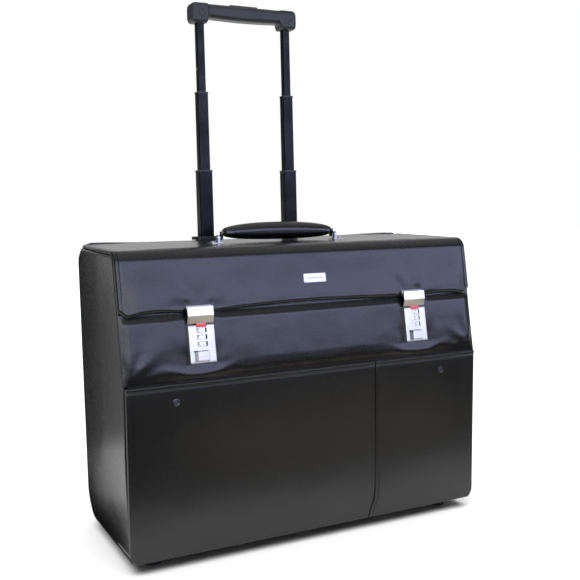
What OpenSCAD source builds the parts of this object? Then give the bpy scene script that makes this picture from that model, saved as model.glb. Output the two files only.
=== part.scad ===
// Rolling pilot flight case. A leather-covered body stands on two front feet and two rear
// wheels. A flap lid closes over the slanted front with two combination locks. A padded carry
// handle sits on the lid, and a three-stage pull handle runs up inside the rear wall.

/* [Body] */
// Width across the side panels
case_w = 470; // [440:5:500]
// Depth of the case along its base
base_d = 191; // [186:1:205]
// Height of the side panels above the base
side_h = 338; // [334:1:350]
// Backward lean of the rear wall and the pull handle, in degrees
rear_lean = 2; // [1:0.5:3]
// Height of the front pockets above the base
pocket_h = 198; // [190:1:204]
// How far the slanted front has run back when it reaches the height of the fold
front_setback = 25.4; // [22:0.2:30]
// Thickness of the covered boards
board_t = 4; // [3:0.5:5]
// Radius of the rear bottom corner, seen from the side
corner_r = 42; // [36:1:46]
// Height of the base above the ground
ground_gap = 12; // [10:1:16]

/* [Lid] */
// Thickness of the lid
lid_t = 4; // [3:0.5:5]
// Outer radius of the fold between the lid's top and its flap
fold_r = 15; // [10:1:20]
// Height of the flap's lower edge above the base
flap_z = 272; // [268:1:276]

/* [Locks] */
// Distance from the middle of the case to each lock
lock_x = 143; // [120:1:160]
// Width of a lock case
lock_w = 31.6; // [30:0.2:34]
// Length of a lock case along the slanted front
lock_l = 42.4; // [42:0.2:46]
// How far a lock case stands out of the slanted front
lock_proud = 8; // [7:0.5:9]
// Radius of a number dial across its corners
dial_r = 8.8; // [8:0.1:9]
// Distance between neighbouring dials
dial_pitch = 7.6; // [7.4:0.1:8]
// Travel of a release button

/* [Carry handle] */
// Length of the padded grip
pad_l = 150; // [130:2:150]
// Thickness of the padded grip at its middle
pad_t = 24; // [20:1:24]
// Distance from the middle to each pivot bracket
bracket_x = 82; // [80:1:90]

/* [Pull handle] */
// Distance from the middle of the case to each tube
tube_x = 62; // [58:1:70]
// Height of the top of the first stage, drawn out
stage_1_top = 433.5; // [420:0.5:440]
// Height of the top of the second stage, drawn out
stage_2_top = 534.5; // [520:0.5:545]
// Height of the grip's lower edge, drawn out
grip_z = 622; // [610:1:630]
// Height of the grip
grip_h = 25.5; // [24:0.5:28]
// Width of the grip
grip_w = 151; // [146:1:160]
// Depth of the grip
grip_d = 23; // [22:1:26]

/* [Wheels and feet] */
// Radius of a wheel
wheel_r = 25; // [23:0.5:26]
// Width of a tyre
tyre_w = 20; // [16:1:20]
// Distance from the middle of the case to each wheel
wheel_x = 209; // [205:1:209]
// Radius of an axle
axle_r = 3; // [2.5:0.5:3.5]
// Radius of a front foot
foot_r = 11; // [9:1:13]

/* [Hidden] */
$fn = 48;

leather = "#1c1c1f";
lining = "#2b2622";
chrome = "#d9dbde";
steel = "#9a9da1";
gunmetal = "#23262b";
plastic = "#2a2b2e";
rubber = "#161616";

// Gap left between pieces that move past each other
run_gap = 0.4;
// Small amount by which a cut passes through a face
eps = 0.5;

// The slanted front rises from the pocket's top to the fold
fold_z = 335.4;
slant = atan(front_setback / (fold_z - pocket_h));
// Distance of the flap's two faces in front of the slanted front
flap_in = run_gap;
flap_out = flap_in + lid_t;
// Heights of the lid's two faces
lid_z0 = side_h + run_gap;
lid_z1 = lid_z0 + lid_t;
// Centre of the fold between the lid's top and its flap
fold_cz = lid_z1 - fold_r;
fold_cy = ((fold_cz - pocket_h) * sin(slant) + fold_r - flap_out) / cos(slant);
// Half of the width inside the side panels
side_t = 6;
half_in = case_w / 2 - side_t;
// Face and thickness of the front pockets, in front of the front panel
pocket_t = 2.5;
pocket_gap = 1;
// Seam between the wide and the narrow pocket
seam_x = 81;
// Height of the front panel's upper edge, behind the flap
lip_z = 300;

// Height of the middle of a lock case
lock_z = 237.3;

// Wall thickness and outer sizes of the tubes, from the fixed one to the innermost
tube_wall = 1;
tube_w = [22.6, 18.6, 14.6, 10.6];
tube_d = [19.4, 15.4, 12.4, 9.6];
// Where the tubes' centre plane meets the base
tube_y = base_d - 15.7;
collar_t = 2;
bezel_z = side_h + 9;

// Heights of the stages when the pull handle is stowed
stowed_1 = bezel_z + 1.5;
stowed_2 = stowed_1 + 2.5;
stowed_grip = stowed_2 + 1;
drop_1 = stage_1_top - stowed_1;
drop_2 = stage_2_top - stowed_2;
drop_3 = grip_z - stowed_grip;
// Lower ends of the tubes, drawn out, so that each stops short of the bracket when stowed
tube_foot = 34;
stage_1_foot = tube_foot + 8 + drop_1;
stage_2_foot = tube_foot + 10 + drop_2;
stage_3_foot = tube_foot + 12 + drop_3;
stage_3_top = grip_z + grip_h - 6;

// Lid hinge
hinge_r = 2;
hinge_pin_r = 1;
hinge_dy = -17;
hinge_z = lid_z1 - hinge_r;
hinge_y = tube_y + hinge_dy + hinge_z * tan(rear_lean);
hinge_segments = 12;
hinge_l = 432;
lid_rear_y = hinge_y - 3;
rail_y = hinge_y + 2.8;

// Wheels
wheel_y = 150;
wheel_z = wheel_r - ground_gap;
housing_w = 34;

// Carry handle
handle_y = 98;
handle_z = lid_z1 + 13.5;
handle_pivot_z = lid_z1 + 7;

// Front feet
foot_x = 198;
foot_y = 27;

// The case stands centred on its own frame
front_most = -6;
rear_most = tube_y + (grip_z + grip_h) * sin(rear_lean) + grip_d / 2;
mid_y = (front_most + rear_most) / 2;

// ---- placing ----

// From the case's frame, with y = 0 at its front and z = 0 at its base
module place() translate([0, -mid_y, ground_gap]) children();

// A frame on the slanted front: z runs up the slant, -y stands out of it
module on_slant(x, z)
    place() translate([x, (z - pocket_h) * tan(slant), z]) rotate([-slant, 0, 0]) children();

// The pull handle's frame: z runs up the tubes, y = 0 is their centre plane
module on_tubes() place() translate([0, tube_y, 0]) rotate([-rear_lean, 0, 0]) children();

// The wheels' frame: z runs along the axle
module on_axle(side)
    place() translate([side * wheel_x, wheel_y, wheel_z]) rotate([0, 90, 0]) children();

// ---- shared shapes ----

module box(x, y, z) translate([x[0], y[0], z[0]]) cube([x[1] - x[0], y[1] - y[0], z[1] - z[0]]);

module pill(w, d, r) {
    square([w - 2 * r, d], center = true);
    square([w, d - 2 * r], center = true);
    for (sx = [-1, 1], sy = [-1, 1])
        translate([sx * (w / 2 - r), sy * (d / 2 - r)]) circle(r);
}

// A block with all its edges rounded
module soft_block(size, r)
    intersection() {
        translate([0, 0, -size[2] / 2]) linear_extrude(size[2]) pill(size[0], size[1], r);
        translate([0, size[1] / 2, 0]) rotate([90, 0, 0])
            linear_extrude(size[1]) pill(size[0], size[2], r);
        translate([-size[0] / 2, 0, 0]) rotate([90, 0, 90])
            linear_extrude(size[0]) pill(size[1], size[2], r);
    }

// The part of a square corner at the origin that lies outside a circle of radius r
module corner_cut(r)
    difference() {
        translate([-1, -1]) square(r + 1);
        translate([r, r]) circle(r);
    }

function slant_y(z) = (z - pocket_h) * tan(slant);
function rear_y(z) = base_d + z * tan(rear_lean);

// Points of an arc about [y, z] = c, from angle a0 to a1
function arc(c, r, a0, a1, n = 10) =
    [for (i = [0 : n]) let (a = a0 + (a1 - a0) * i / n) [c[0] + r * cos(a), c[1] + r * sin(a)]];

// Side view of the body, as [y, z], set in by t from the outer face
module body_profile(t)
    polygon(concat(
        [[t, t], [t, pocket_h]],
        arc([fold_cy, fold_cz], fold_r - lid_t - run_gap - t, 180 - slant, 90),
        [[rear_y(side_h) - t, side_h - t]],
        arc([rear_y(corner_r) - corner_r, corner_r], corner_r - t, 0, -90)
    ));

// A [y, z] outline, extruded along x between two places
module along_x(x0, x1)
    translate([x0, 0, 0]) rotate([90, 0, 90]) linear_extrude(x1 - x0) children();

// The rounding of the upright rear corners, seen from above
module plan_limit(t)
    translate([0, base_d, 0]) rotate([-rear_lean, 0, 0]) translate([0, 0, -60])
        linear_extrude(side_h + 120)
            difference() {
                translate([-case_w / 2 + t, -base_d - 60]) square([case_w - 2 * t, base_d + 60 - t]);
                for (s = [-1, 1])
                    translate([s * (case_w / 2 - t), -t])
                        mirror([s > 0 ? 1 : 0, 0]) mirror([0, 1]) corner_cut(25 - t);
            }

// The rounding of the lower edges, seen from the front
module front_limit()
    translate([0, base_d + 60, 0]) rotate([90, 0, 0]) linear_extrude(base_d + 120)
        difference() {
            translate([-case_w / 2, 0]) square([case_w, side_h + 20]);
            for (s = [-1, 1])
                translate([s * case_w / 2, 0]) mirror([s > 0 ? 1 : 0, 0]) corner_cut(13);
        }

// The whole outer form of the body
module body_solid()
    intersection() {
        along_x(-case_w / 2, case_w / 2) body_profile(0);
        plan_limit(0);
        front_limit();
    }

// The hollow form: the body less everything inside its boards
module body_shell()
    difference() {
        body_solid();
        intersection() {
            along_x(-half_in, half_in) union() {
                body_profile(board_t);
                translate([60, side_h - 40]) square([rear_y(side_h - 40) - board_t - 60, 60]);
            }
            plan_limit(board_t);
        }
    }

// Space taken by each wheel housing
module housing_space(gap)
    for (s = [-1, 1])
        translate([s * wheel_x, 0, 0])
            box([-housing_w / 2 - gap, housing_w / 2 + gap], [116 - gap, 210], [-eps, 46 + gap]);

// ---- body ----

// A side panel, with its rear and lower edges cut off to meet the rounded corners
module side_panel(s)
    color(leather) place() mirror([s < 0 ? 1 : 0, 0, 0])
        difference() {
            along_x(half_in, case_w / 2) body_profile(0);
            translate([case_w / 2, base_d, 0]) rotate([-rear_lean, 0, 0])
                translate([0, 0, -60]) linear_extrude(side_h + 120)
                    polygon([[0.1, -25], [-side_t, -8.8], [-side_t - 1, 20], [20, 20], [20, -25]]);
            translate([case_w / 2, base_d * 1.5, 0]) rotate([90, 0, 0]) linear_extrude(base_d * 2)
                polygon([[0.1, 13], [-side_t, 2], [-side_t - 1, -20], [20, -20], [20, 13]]);
        }

module front_panel()
    color(leather)
        difference() {
            place() along_x(-half_in, half_in)
                polygon([
                    [0, board_t], [0, pocket_h], flap_point(0, lip_z),
                    flap_point(-board_t, lip_z), [board_t, pocket_h], [board_t, board_t]
                ]);
            for (s = [-1, 1]) on_slant(s * lock_x, lock_z)
                cube([lock_w - 4, 30, lock_l - 6], center = true);
        }

module rear_panel()
    color(leather) place()
        difference() {
            intersection() {
                body_shell();
                box([-half_in, half_in], [rear_y(corner_r) - corner_r, base_d + 40],
                    [-eps, side_h - 5]);
            }
            housing_space(0);
        }

module base_board()
    color(leather) place()
        difference() {
            intersection() {
                body_shell();
                box([-half_in, half_in], [-1, rear_y(corner_r) - corner_r], [-eps, board_t]);
            }
            housing_space(0);
        }

module front_padding()
    color(leather)
        difference() {
            on_slant(0, 234.5) translate([0, -1.25, 0]) cube([2 * half_in, 2.5, 68], center = true);
            for (s = [-1, 1]) on_slant(s * lock_x, lock_z)
                cube([lock_w + 0.6, 30, lock_l + 0.6], center = true);
        }

module pocket_panel(x0, x1)
    color(leather) place()
        intersection() {
            box([x0, x1], [-pocket_gap - pocket_t, -pocket_gap], [1, pocket_h - 0.5]);
            front_limit();
        }

module pocket_snaps()
    color(steel) place()
        for (s = [-1, 1]) translate([s * 177, -pocket_gap - pocket_t, 177.5]) rotate([90, 0, 0]) {
            cylinder(r = 4.2, h = 1);
            translate([0, 0, 1]) cylinder(r1 = 3.4, r2 = 2.4, h = 1.5);
        }

module divider_panel()
    color(lining) place() box([-225, 225], [74, 77], [board_t, 172]);

module tube_cover_panel()
    color(lining)
        difference() {
            on_tubes() box([-228, 228], [-16, -13], [9, 333]);
            place() housing_space(0.5);
        }

// ---- pull handle, fixed pieces ----

module tube_shape(n, extra) pill(tube_w[n] + extra, tube_d[n] + extra, 2);

module tube(n, side, z0, z1)
    on_tubes() translate([side * tube_x, 0, z0])
        linear_extrude(z1 - z0)
            difference() {
                tube_shape(n, 0);
                tube_shape(n, -2 * tube_wall);
            }

// The rail behind the lid: it closes the rear wall and covers the side panels' ends
module rear_top_rail()
    color(leather)
        difference() {
            place() intersection() {
                union() {
                    along_x(-half_in, half_in) polygon([
                        [rail_y, side_h - 4.5], [rear_y(side_h - 4.5), side_h - 4.5],
                        [rear_y(lid_z1), lid_z1], [rail_y, lid_z1]
                    ]);
                    along_x(-case_w / 2 + 1, case_w / 2 - 1) polygon([
                        [rail_y, lid_z0], [rear_y(lid_z0), lid_z0], [rear_y(lid_z1), lid_z1],
                        [rail_y, lid_z1]
                    ]);
                }
                along_x(-case_w, case_w) difference() {
                    translate([rail_y, 0]) square([100, lid_z1]);
                    translate([rear_y(lid_z1), lid_z1]) mirror([1, 0]) mirror([0, 1]) corner_cut(8);
                    translate([rear_y(lid_z1), 0]) square([100, lid_z1]);
                }
                plan_limit(0);
            }
            for (s = [-1, 1]) on_tubes() translate([s * tube_x, 0, side_h - 20])
                linear_extrude(40) tube_shape(0, 0.4);
        }

module tube_bezels()
    color(plastic) on_tubes()
        for (s = [-1, 1]) translate([s * tube_x, 0, lid_z1 + 0.5])
            linear_extrude(bezel_z - lid_z1 - 0.5)
                difference() {
                    pill(34, 25, 5);
                    tube_shape(0, -2 * tube_wall);
                }

module outer_tubes()
    color(steel) for (s = [-1, 1]) tube(0, s, tube_foot, lid_z1 + 0.4);

module tube_foot_bracket()
    color(plastic)
        on_tubes() difference() {
            box([-86, 86], [-12.5, 9.8], [tube_foot - 5, tube_foot + 12]);
            for (s = [-1, 1]) translate([s * tube_x, 0, tube_foot])
                linear_extrude(40) tube_shape(0, 0.2);
            box([-46, 46], [-9, 20], [tube_foot - 2, tube_foot + 30]);
        }

// ---- lid hinge ----

// Every second knuckle of the hinge, starting from the first or the second
module knuckles(first)
    for (i = [first : 2 : hinge_segments - 1]) {
        pitch = hinge_l / hinge_segments;
        translate([-hinge_l / 2 + i * pitch + 0.3, 0, 0]) children();
    }

module knuckle_tube()
    rotate([0, 90, 0]) cylinder(r = hinge_r, h = hinge_l / hinge_segments - 0.6);

module hinge_bore()
    translate([-hinge_l, hinge_y, hinge_z]) rotate([0, 90, 0])
        cylinder(r = hinge_pin_r + 0.05, h = 2 * hinge_l);

module hinge_body_leaf()
    color(steel) place()
        difference() {
            union() {
                knuckles(0) {
                    translate([0, hinge_y, hinge_z]) knuckle_tube();
                    box([0, hinge_l / hinge_segments - 0.6], [hinge_y - 0.9, hinge_y],
                        [side_h - 5, hinge_z - 1]);
                }
                box([-hinge_l / 2, hinge_l / 2], [hinge_y - 1, hinge_y],
                    [side_h - 22, side_h - 5]);
            }
            hinge_bore();
        }

module hinge_lid_leaf()
    color(steel) place()
        difference() {
            union() {
                knuckles(1) {
                    translate([0, hinge_y, hinge_z]) knuckle_tube();
                    box([0, hinge_l / hinge_segments - 0.6], [hinge_y - 6, hinge_y - 0.4],
                        [lid_z0 - 1.2, lid_z0 - 0.2]);
                    box([0, hinge_l / hinge_segments - 0.6], [hinge_y - 1.5, hinge_y - 0.4],
                        [lid_z0 - 1.2, hinge_z - 1]);
                }
                box([-hinge_l / 2, hinge_l / 2], [hinge_y - 22, hinge_y - 5],
                    [lid_z0 - 1.2, lid_z0 - 0.2]);
            }
            hinge_bore();
        }

module hinge_pin()
    color(steel) place()
        translate([-hinge_l / 2, hinge_y, hinge_z]) rotate([0, 90, 0])
            cylinder(r = hinge_pin_r, h = hinge_l);

// ---- wheels and feet ----

module wheel_housing(s)
    color(plastic)
        difference() {
            place() intersection() {
                body_solid();
                housing_space(-0.2);
                translate([s * wheel_x, 0, 0]) cube([housing_w * 2, 600, 600], center = true);
            }
            on_axle(s) cylinder(r = wheel_r + 2.5, h = tyre_w + 3, center = true);
            place() translate([s * wheel_x, wheel_y + 20, wheel_z - 30])
                cube([tyre_w + 3, 2 * wheel_r + 45, 60], center = true);
            on_axle(s) cylinder(r = axle_r, h = housing_w - 4, center = true);
        }

module wheel_axles()
    color(steel) for (s = [-1, 1]) on_axle(s) cylinder(r = axle_r, h = housing_w - 4.4, center = true);

module tyre(s)
    color(rubber) on_axle(s) rotate_extrude()
        difference() {
            translate([17, -tyre_w / 2]) square([wheel_r - 17, tyre_w]);
            for (m = [0, 1]) mirror([0, m])
                translate([wheel_r, -tyre_w / 2]) mirror([1, 0]) corner_cut(4);
        }

module hub(s)
    color(plastic) on_axle(s) rotate_extrude()
        difference() {
            translate([axle_r + 0.05, -9]) square([17 - axle_r - 0.05, 18]);
            for (m = [0, 1]) mirror([0, m]) translate([7, 5.5]) square([7.5, 6]);
        }

module front_feet()
    color(rubber) place()
        for (s = [-1, 1]) translate([s * foot_x, foot_y, -ground_gap])
            cylinder(r1 = foot_r - 1.5, r2 = foot_r, h = ground_gap);

// ---- locks ----

// Heights of a lock's pieces, up the slant from its middle
button_zc = -13.3;
dial_axis_y = -lock_proud - 1.6 + dial_r;
dial_t = 4.6;
// Height of the tongue's notch
notch_z = lock_l / 2 - 2.4;

module lock_case(s)
    color(chrome) on_slant(s * lock_x, lock_z)
        difference() {
            union() {
                intersection() {
                    soft_block([lock_w, 2 * lock_proud, lock_l], 1.6);
                    box([-40, 40], [-20, -0.1], [-40, 40]);
                }
                box([-lock_w / 2 + 3, lock_w / 2 - 3], [-1, 8.8], [-lock_l / 2 + 3.4, lock_l / 2 - 3.4]);
            }
            // a slot for each dial
            for (i = [0 : 2]) translate([0, dial_axis_y, i * dial_pitch])
                cylinder(r = dial_r + 0.5, h = dial_t + 0.6, center = true);
            translate([0, dial_axis_y, -5]) cylinder(r = 1.5, h = 24);
            // the button's track
            box([-11.4, 6.4], [-20, -2], [button_zc - 6, button_zc + 6]);
            // the notch that takes the tongue
            box([-6.4, 6.4], [-20, -3], [notch_z, 40]);
        }

module lock_back_plates()
    color(steel) for (s = [-1, 1]) on_slant(s * lock_x, lock_z)
        difference() {
            box([-lock_w / 2 + 1, lock_w / 2 - 1], [8.9, 10.1], [-lock_l / 2 + 1, lock_l / 2 - 1]);
            for (x = [-1, 1]) translate([x * 10, 0, -12]) rotate([-90, 0, 0]) cylinder(r = 1.2, h = 20);
        }

module dial_axles()
    color(steel) for (s = [-1, 1]) on_slant(s * lock_x, lock_z)
        translate([0, dial_axis_y, -4.8]) cylinder(r = 1.5, h = 22.8);

module dial(s, i)
    color(steel) on_slant(s * lock_x, lock_z) translate([0, dial_axis_y, i * dial_pitch])
        difference() {
            rotate([0, 0, 18]) cylinder(r = dial_r, h = dial_t, center = true, $fn = 10);
            cylinder(r = 1.55, h = 10, center = true);
        }

module lock_indicators()
    color("#c8463c") for (s = [-1, 1]) on_slant(s * lock_x, lock_z)
        box([-6, 6], [-4.2, -3], [notch_z + 0.1, lock_l / 2 - 0.2]);

module release_button(s)
    color(chrome) on_slant(s * lock_x, lock_z)
        translate([-0.6, -6.3, button_zc]) soft_block([13.2, 8, 11.2], 0.9);

// ---- hasps ----

hasp_z = 269;
hasp_w = 30.6;
// The hasp's pivot, from its own middle
pivot_y = -flap_out - 2.6;
pivot_z = 8.6;
pin_r = 0.9;

module hasp_plates()
    color(chrome) for (s = [-1, 1]) on_slant(s * lock_x, hasp_z)
        difference() {
            union() {
                box([-14.6, 14.6], [-flap_out - 0.8, -flap_out], [3.4, 10.6]);
                for (x = [-1, 1]) translate([x * 12.6 - 1.6, pivot_y, pivot_z]) {
                    rotate([0, 90, 0]) cylinder(r = 1.7, h = 3.2);
                    box([0, 3.2], [0, 1.8], [-1.7, 1.7]);
                }
            }
            translate([-20, pivot_y, pivot_z]) rotate([0, 90, 0]) cylinder(r = pin_r, h = 40);
        }

module hasp_pins()
    color(steel) for (s = [-1, 1]) on_slant(s * lock_x, hasp_z)
        translate([-14, pivot_y, pivot_z]) rotate([0, 90, 0]) cylinder(r = pin_r, h = 28);

// The hasp: a cover that hangs from its pin, bends in below the flap and ends in a tongue
module hasp(s)
    color(chrome) on_slant(s * lock_x, hasp_z)
        difference() {
            union() {
                translate([-hasp_w / 2, 0, 0]) rotate([90, 0, 90]) linear_extrude(hasp_w)
                    polygon([
                        [pivot_y - 2.9, pivot_z + 0.4], [pivot_y - 2.9, -1.2], [-6.2, -9.4],
                        [-5.1, -9.4], [pivot_y - 1.85, -0.8], [pivot_y - 1.85, pivot_z + 0.4]
                    ]);
                translate([-10.4, pivot_y, pivot_z]) rotate([0, 90, 0]) cylinder(r = 1.7, h = 20.8);
                box([-10.4, 10.4], [pivot_y - 2.4, pivot_y], [pivot_z - 1.7, pivot_z + 0.4]);
                box([-5.4, 5.4], [-6.2, -5.1], [-12.6, -9]);
            }
            translate([-20, pivot_y, pivot_z]) rotate([0, 90, 0]) cylinder(r = pin_r + 0.05, h = 40);
        }

// ---- lid ----

// A point on the flap, at distance d in front of the slanted front and height z
function flap_point(d, z) = [slant_y(z) - d / cos(slant), z];

module lid_panel()
    color(leather) place()
        difference() {
            along_x(-case_w / 2 + 1, case_w / 2 - 1)
                polygon(concat(
                    [[lid_rear_y, lid_z1]], arc([fold_cy, fold_cz], fold_r, 90, 180 - slant),
                    [flap_point(flap_out, flap_z), flap_point(flap_in, flap_z)],
                    arc([fold_cy, fold_cz], fold_r - lid_t, 180 - slant, 90),
                    [[lid_rear_y, lid_z0]]
                ));
            // the flap's cut-off lower corners
            for (s = [-1, 1]) translate([s * (case_w / 2 - 1), 10, flap_z]) rotate([0, 45, 0])
                cube([13, 60, 13], center = true);
        }

module lid_lining()
    color(lining) place() box([-222, 222], [48, 146], [lid_z0 - 1.6, lid_z0 - 0.1]);

module name_plate()
    color(chrome) on_slant(5.3, 301)
        translate([0, -flap_out, 0]) rotate([90, 0, 0]) linear_extrude(1.2) pill(30, 10.4, 1);

// ---- carry handle ----

pivot_pin_r = 1.6;

module handle_brackets()
    color(chrome) place()
        for (s = [-1, 1]) translate([s * bracket_x, handle_y, lid_z1])
            difference() {
                union() {
                    translate([s * 3, 0, 0]) linear_extrude(1.2) pill(17, 16, 3);
                    translate([-1.5, -3.5, 0]) cube([3, 7, handle_pivot_z - lid_z1]);
                    translate([-1.5, 0, handle_pivot_z - lid_z1]) rotate([0, 90, 0])
                        cylinder(r = 3.5, h = 3);
                    translate([s * 7, 0, 1]) cylinder(r1 = 3, r2 = 2.4, h = 1.8);
                }
                translate([-10, 0, handle_pivot_z - lid_z1]) rotate([0, 90, 0])
                    cylinder(r = pivot_pin_r + 0.05, h = 20);
            }

// The steel strap inside the grip, with its two ends bent down and the pivot pins on them
module handle_core()
    color(steel) place() translate([0, handle_y, 0]) {
        box([-pad_l / 2 - 3, pad_l / 2 + 3], [-4, 4], [handle_z - 0.8, handle_z + 0.8]);
        for (s = [-1, 1]) {
            x0 = s > 0 ? pad_l / 2 + 1.4 : -pad_l / 2 - 3;
            box([x0, x0 + 1.6], [-4, 4], [handle_pivot_z - 3, handle_z]);
            translate([x0, 0, handle_pivot_z]) rotate([0, 90, 0])
                translate([0, 0, s > 0 ? 0 : -6.6]) cylinder(r = pivot_pin_r, h = 8.2);
        }
    }

// Radius of the grip along its length, as a lens
function pad_r(u) = 5.2 + (pad_t / 2 - 5.2) * sqrt(1 - u * u);

module handle_pad()
    color(leather) place() translate([0, handle_y, handle_z]) rotate([0, 90, 0])
        difference() {
            rotate_extrude() polygon(concat(
                [[0, -pad_l / 2]],
                [for (i = [-12 : 12]) [pad_r(i / 12), i / 12 * pad_l / 2]],
                [[0, pad_l / 2]]
            ));
            cube([2, 8.4, pad_l * 2], center = true);
        }

// ---- pull handle, moving pieces ----

module stage_collars(n, top)
    color(plastic) on_tubes()
        for (s = [-1, 1]) translate([s * tube_x, 0, top - collar_t])
            linear_extrude(collar_t)
                difference() {
                    tube_shape(n, 0.8);
                    tube_shape(n + 1, 2 * run_gap);
                }

// The grip: a bar between two end blocks that take the innermost tubes
block_w = 26;
module grip_solid()
    union() {
        for (s = [-1, 1]) translate([s * (grip_w - block_w) / 2, 0, grip_z + grip_h / 2])
            soft_block([block_w, grip_d, grip_h], 4);
        translate([0, 0, grip_z + grip_h - 9.5]) soft_block([grip_w - block_w, grip_d - 2, 19], 5);
    }

module grip_shell(front)
    color(plastic) on_tubes()
        difference() {
            intersection() {
                grip_solid();
                box([-100, 100], front ? [-30, -0.1] : [0.1, 30], [grip_z - 5, grip_z + 60]);
            }
            for (s = [-1, 1]) translate([s * tube_x, 0, grip_z - 10])
                linear_extrude(stage_3_top - grip_z + 10.2) tube_shape(3, 0.2);
            // room for the button and the links that release the tubes
            box([-20.4, 20.4], [-5.4, 5.4], [grip_z + grip_h - 13, grip_z + 60]);
            box([-tube_x + 7, tube_x - 7], [-3, 3], [grip_z + grip_h - 13, grip_z + grip_h - 8]);
            for (s = [-1, 1]) translate([s * tube_x, 0, grip_z + 12]) rotate([90, 0, 0])
                translate([0, 0, -6]) cylinder(r = 1.5, h = 30);
            for (s = [-1, 1]) translate([s * tube_x, -grip_d / 2 + 1.6, grip_z + 12])
                rotate([90, 0, 0]) cylinder(r = 3, h = 10);
        }

module grip_screws()
    color(steel) on_tubes()
        for (s = [-1, 1]) translate([s * tube_x, -grip_d / 2 + 1.6, grip_z + 12]) rotate([90, 0, 0])
            difference() {
                union() {
                    cylinder(r = 2.8, h = 1.4);
                    translate([0, 0, -3.9]) cylinder(r = 1.5, h = 4.5);
                }
                translate([0, 0, 1.4]) cube([0.7, 4, 1.2], center = true);
                translate([0, 0, 1.4]) cube([4, 0.7, 1.2], center = true);
            }

module grip_button()
    color(gunmetal) on_tubes()
        translate([0, 0, grip_z + grip_h - 3.2]) soft_block([40, 10, 9], 1.6);

module stage_tube(n, s, foot, top) color(gunmetal) tube(n, s, foot, top);

// ---- nodes ----

side_panel(-1);  // left_side_panel
side_panel(1);  // right_side_panel
front_panel();
rear_panel();
base_board();
front_padding();
pocket_panel(-case_w / 2 + 2, seam_x - 0.6);  // wide_pocket_panel
pocket_panel(seam_x + 0.6, case_w / 2 - 2);  // narrow_pocket_panel
pocket_snaps();
divider_panel();
tube_cover_panel();
rear_top_rail();
tube_bezels();
outer_tubes();
tube_foot_bracket();
hinge_body_leaf();
hinge_pin();
wheel_housing(-1);  // left_wheel_housing
wheel_housing(1);  // right_wheel_housing
wheel_axles();
front_feet();
lock_case(-1);  // left_lock_case
lock_case(1);  // right_lock_case
lock_back_plates();
dial_axles();
lock_indicators();
lid_panel();
lid_lining();
hinge_lid_leaf();
hasp_plates();
hasp_pins();
name_plate();
handle_brackets();
hasp(-1);  // left_hasp
hasp(1);  // right_hasp
release_button(-1);  // left_release_button
release_button(1);  // right_release_button
dial(-1, 2);  // left_dial_1
dial(-1, 1);  // left_dial_2
dial(-1, 0);  // left_dial_3
dial(1, 2);  // right_dial_1
dial(1, 1);  // right_dial_2
dial(1, 0);  // right_dial_3
handle_pad();
handle_core();
stage_tube(1, -1, stage_1_foot, stage_1_top - collar_t);  // left_stage_1_tube
stage_tube(1, 1, stage_1_foot, stage_1_top - collar_t);  // right_stage_1_tube
stage_collars(1, stage_1_top);  // stage_1_collars
stage_tube(2, -1, stage_2_foot, stage_2_top - collar_t);  // left_stage_2_tube
stage_tube(2, 1, stage_2_foot, stage_2_top - collar_t);  // right_stage_2_tube
stage_collars(2, stage_2_top);  // stage_2_collars
for (s = [-1, 1]) stage_tube(3, s, stage_3_foot, stage_3_top);  // stage_3_tubes
grip_shell(true);  // grip_front_shell
grip_shell(false);  // grip_rear_shell
grip_screws();
grip_button();
tyre(-1);  // left_tyre
hub(-1);  // left_hub
tyre(1);  // right_tyre
hub(1);  // right_hub
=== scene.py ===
"""A rolling pilot flight case: the looks of the leather, metal and plastic, built round its CAD frame."""

import math

import bmesh
import bpy
from bpy.props import FloatProperty, FloatVectorProperty, PointerProperty
from mathutils import Matrix, Vector, noise


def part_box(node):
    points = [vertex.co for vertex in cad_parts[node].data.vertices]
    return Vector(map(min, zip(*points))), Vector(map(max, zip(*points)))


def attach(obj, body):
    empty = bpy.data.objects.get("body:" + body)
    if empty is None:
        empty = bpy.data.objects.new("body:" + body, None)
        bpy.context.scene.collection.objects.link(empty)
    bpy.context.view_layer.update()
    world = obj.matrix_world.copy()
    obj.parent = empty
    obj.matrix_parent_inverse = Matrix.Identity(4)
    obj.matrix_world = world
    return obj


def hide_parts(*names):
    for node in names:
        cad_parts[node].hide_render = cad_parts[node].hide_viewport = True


bl_info = {
    "name": "Pilot flight case",
    "version": (1, 0, 0),
    "blender": (4, 5, 0),
    "location": "3D View > Sidebar > Flight Case",
    "description": "Builds the leather, metal and plastic of a rolling pilot flight case",
    "category": "Add Mesh",
}

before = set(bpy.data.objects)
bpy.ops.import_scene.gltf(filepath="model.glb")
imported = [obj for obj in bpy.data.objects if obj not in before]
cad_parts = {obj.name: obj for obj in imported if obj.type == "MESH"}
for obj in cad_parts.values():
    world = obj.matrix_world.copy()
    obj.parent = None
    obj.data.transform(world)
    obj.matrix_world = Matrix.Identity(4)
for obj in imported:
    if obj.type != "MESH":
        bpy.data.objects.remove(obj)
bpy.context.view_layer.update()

MM = 0.001

# ---------------------------------------------------------------------------
# The case's own frame, in millimetres: x from its middle, y from its front, z from its base
# ---------------------------------------------------------------------------

ORIGIN = Vector((0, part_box("front_panel")[0].y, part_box("base_board")[0].z)) / MM


def case_box(node):
    """Lowest and highest corner of a CAD node, in the case's own frame."""
    low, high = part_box(node)
    return low / MM - ORIGIN, high / MM - ORIGIN


def to_row(point):
    """A point of the case's own frame as metres in the shared frame."""
    return (Vector(point) + ORIGIN) * MM


HALF_W = case_box("right_side_panel")[1].x
SIDE_H = case_box("right_side_panel")[1].z
POCKET_TOP = case_box("wide_pocket_panel")[1].z + 0.5
LID_TOP = case_box("lid_panel")[1].z
LID_REAR = case_box("lid_panel")[1].y
FLAP_END = case_box("lid_panel")[0].z

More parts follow.
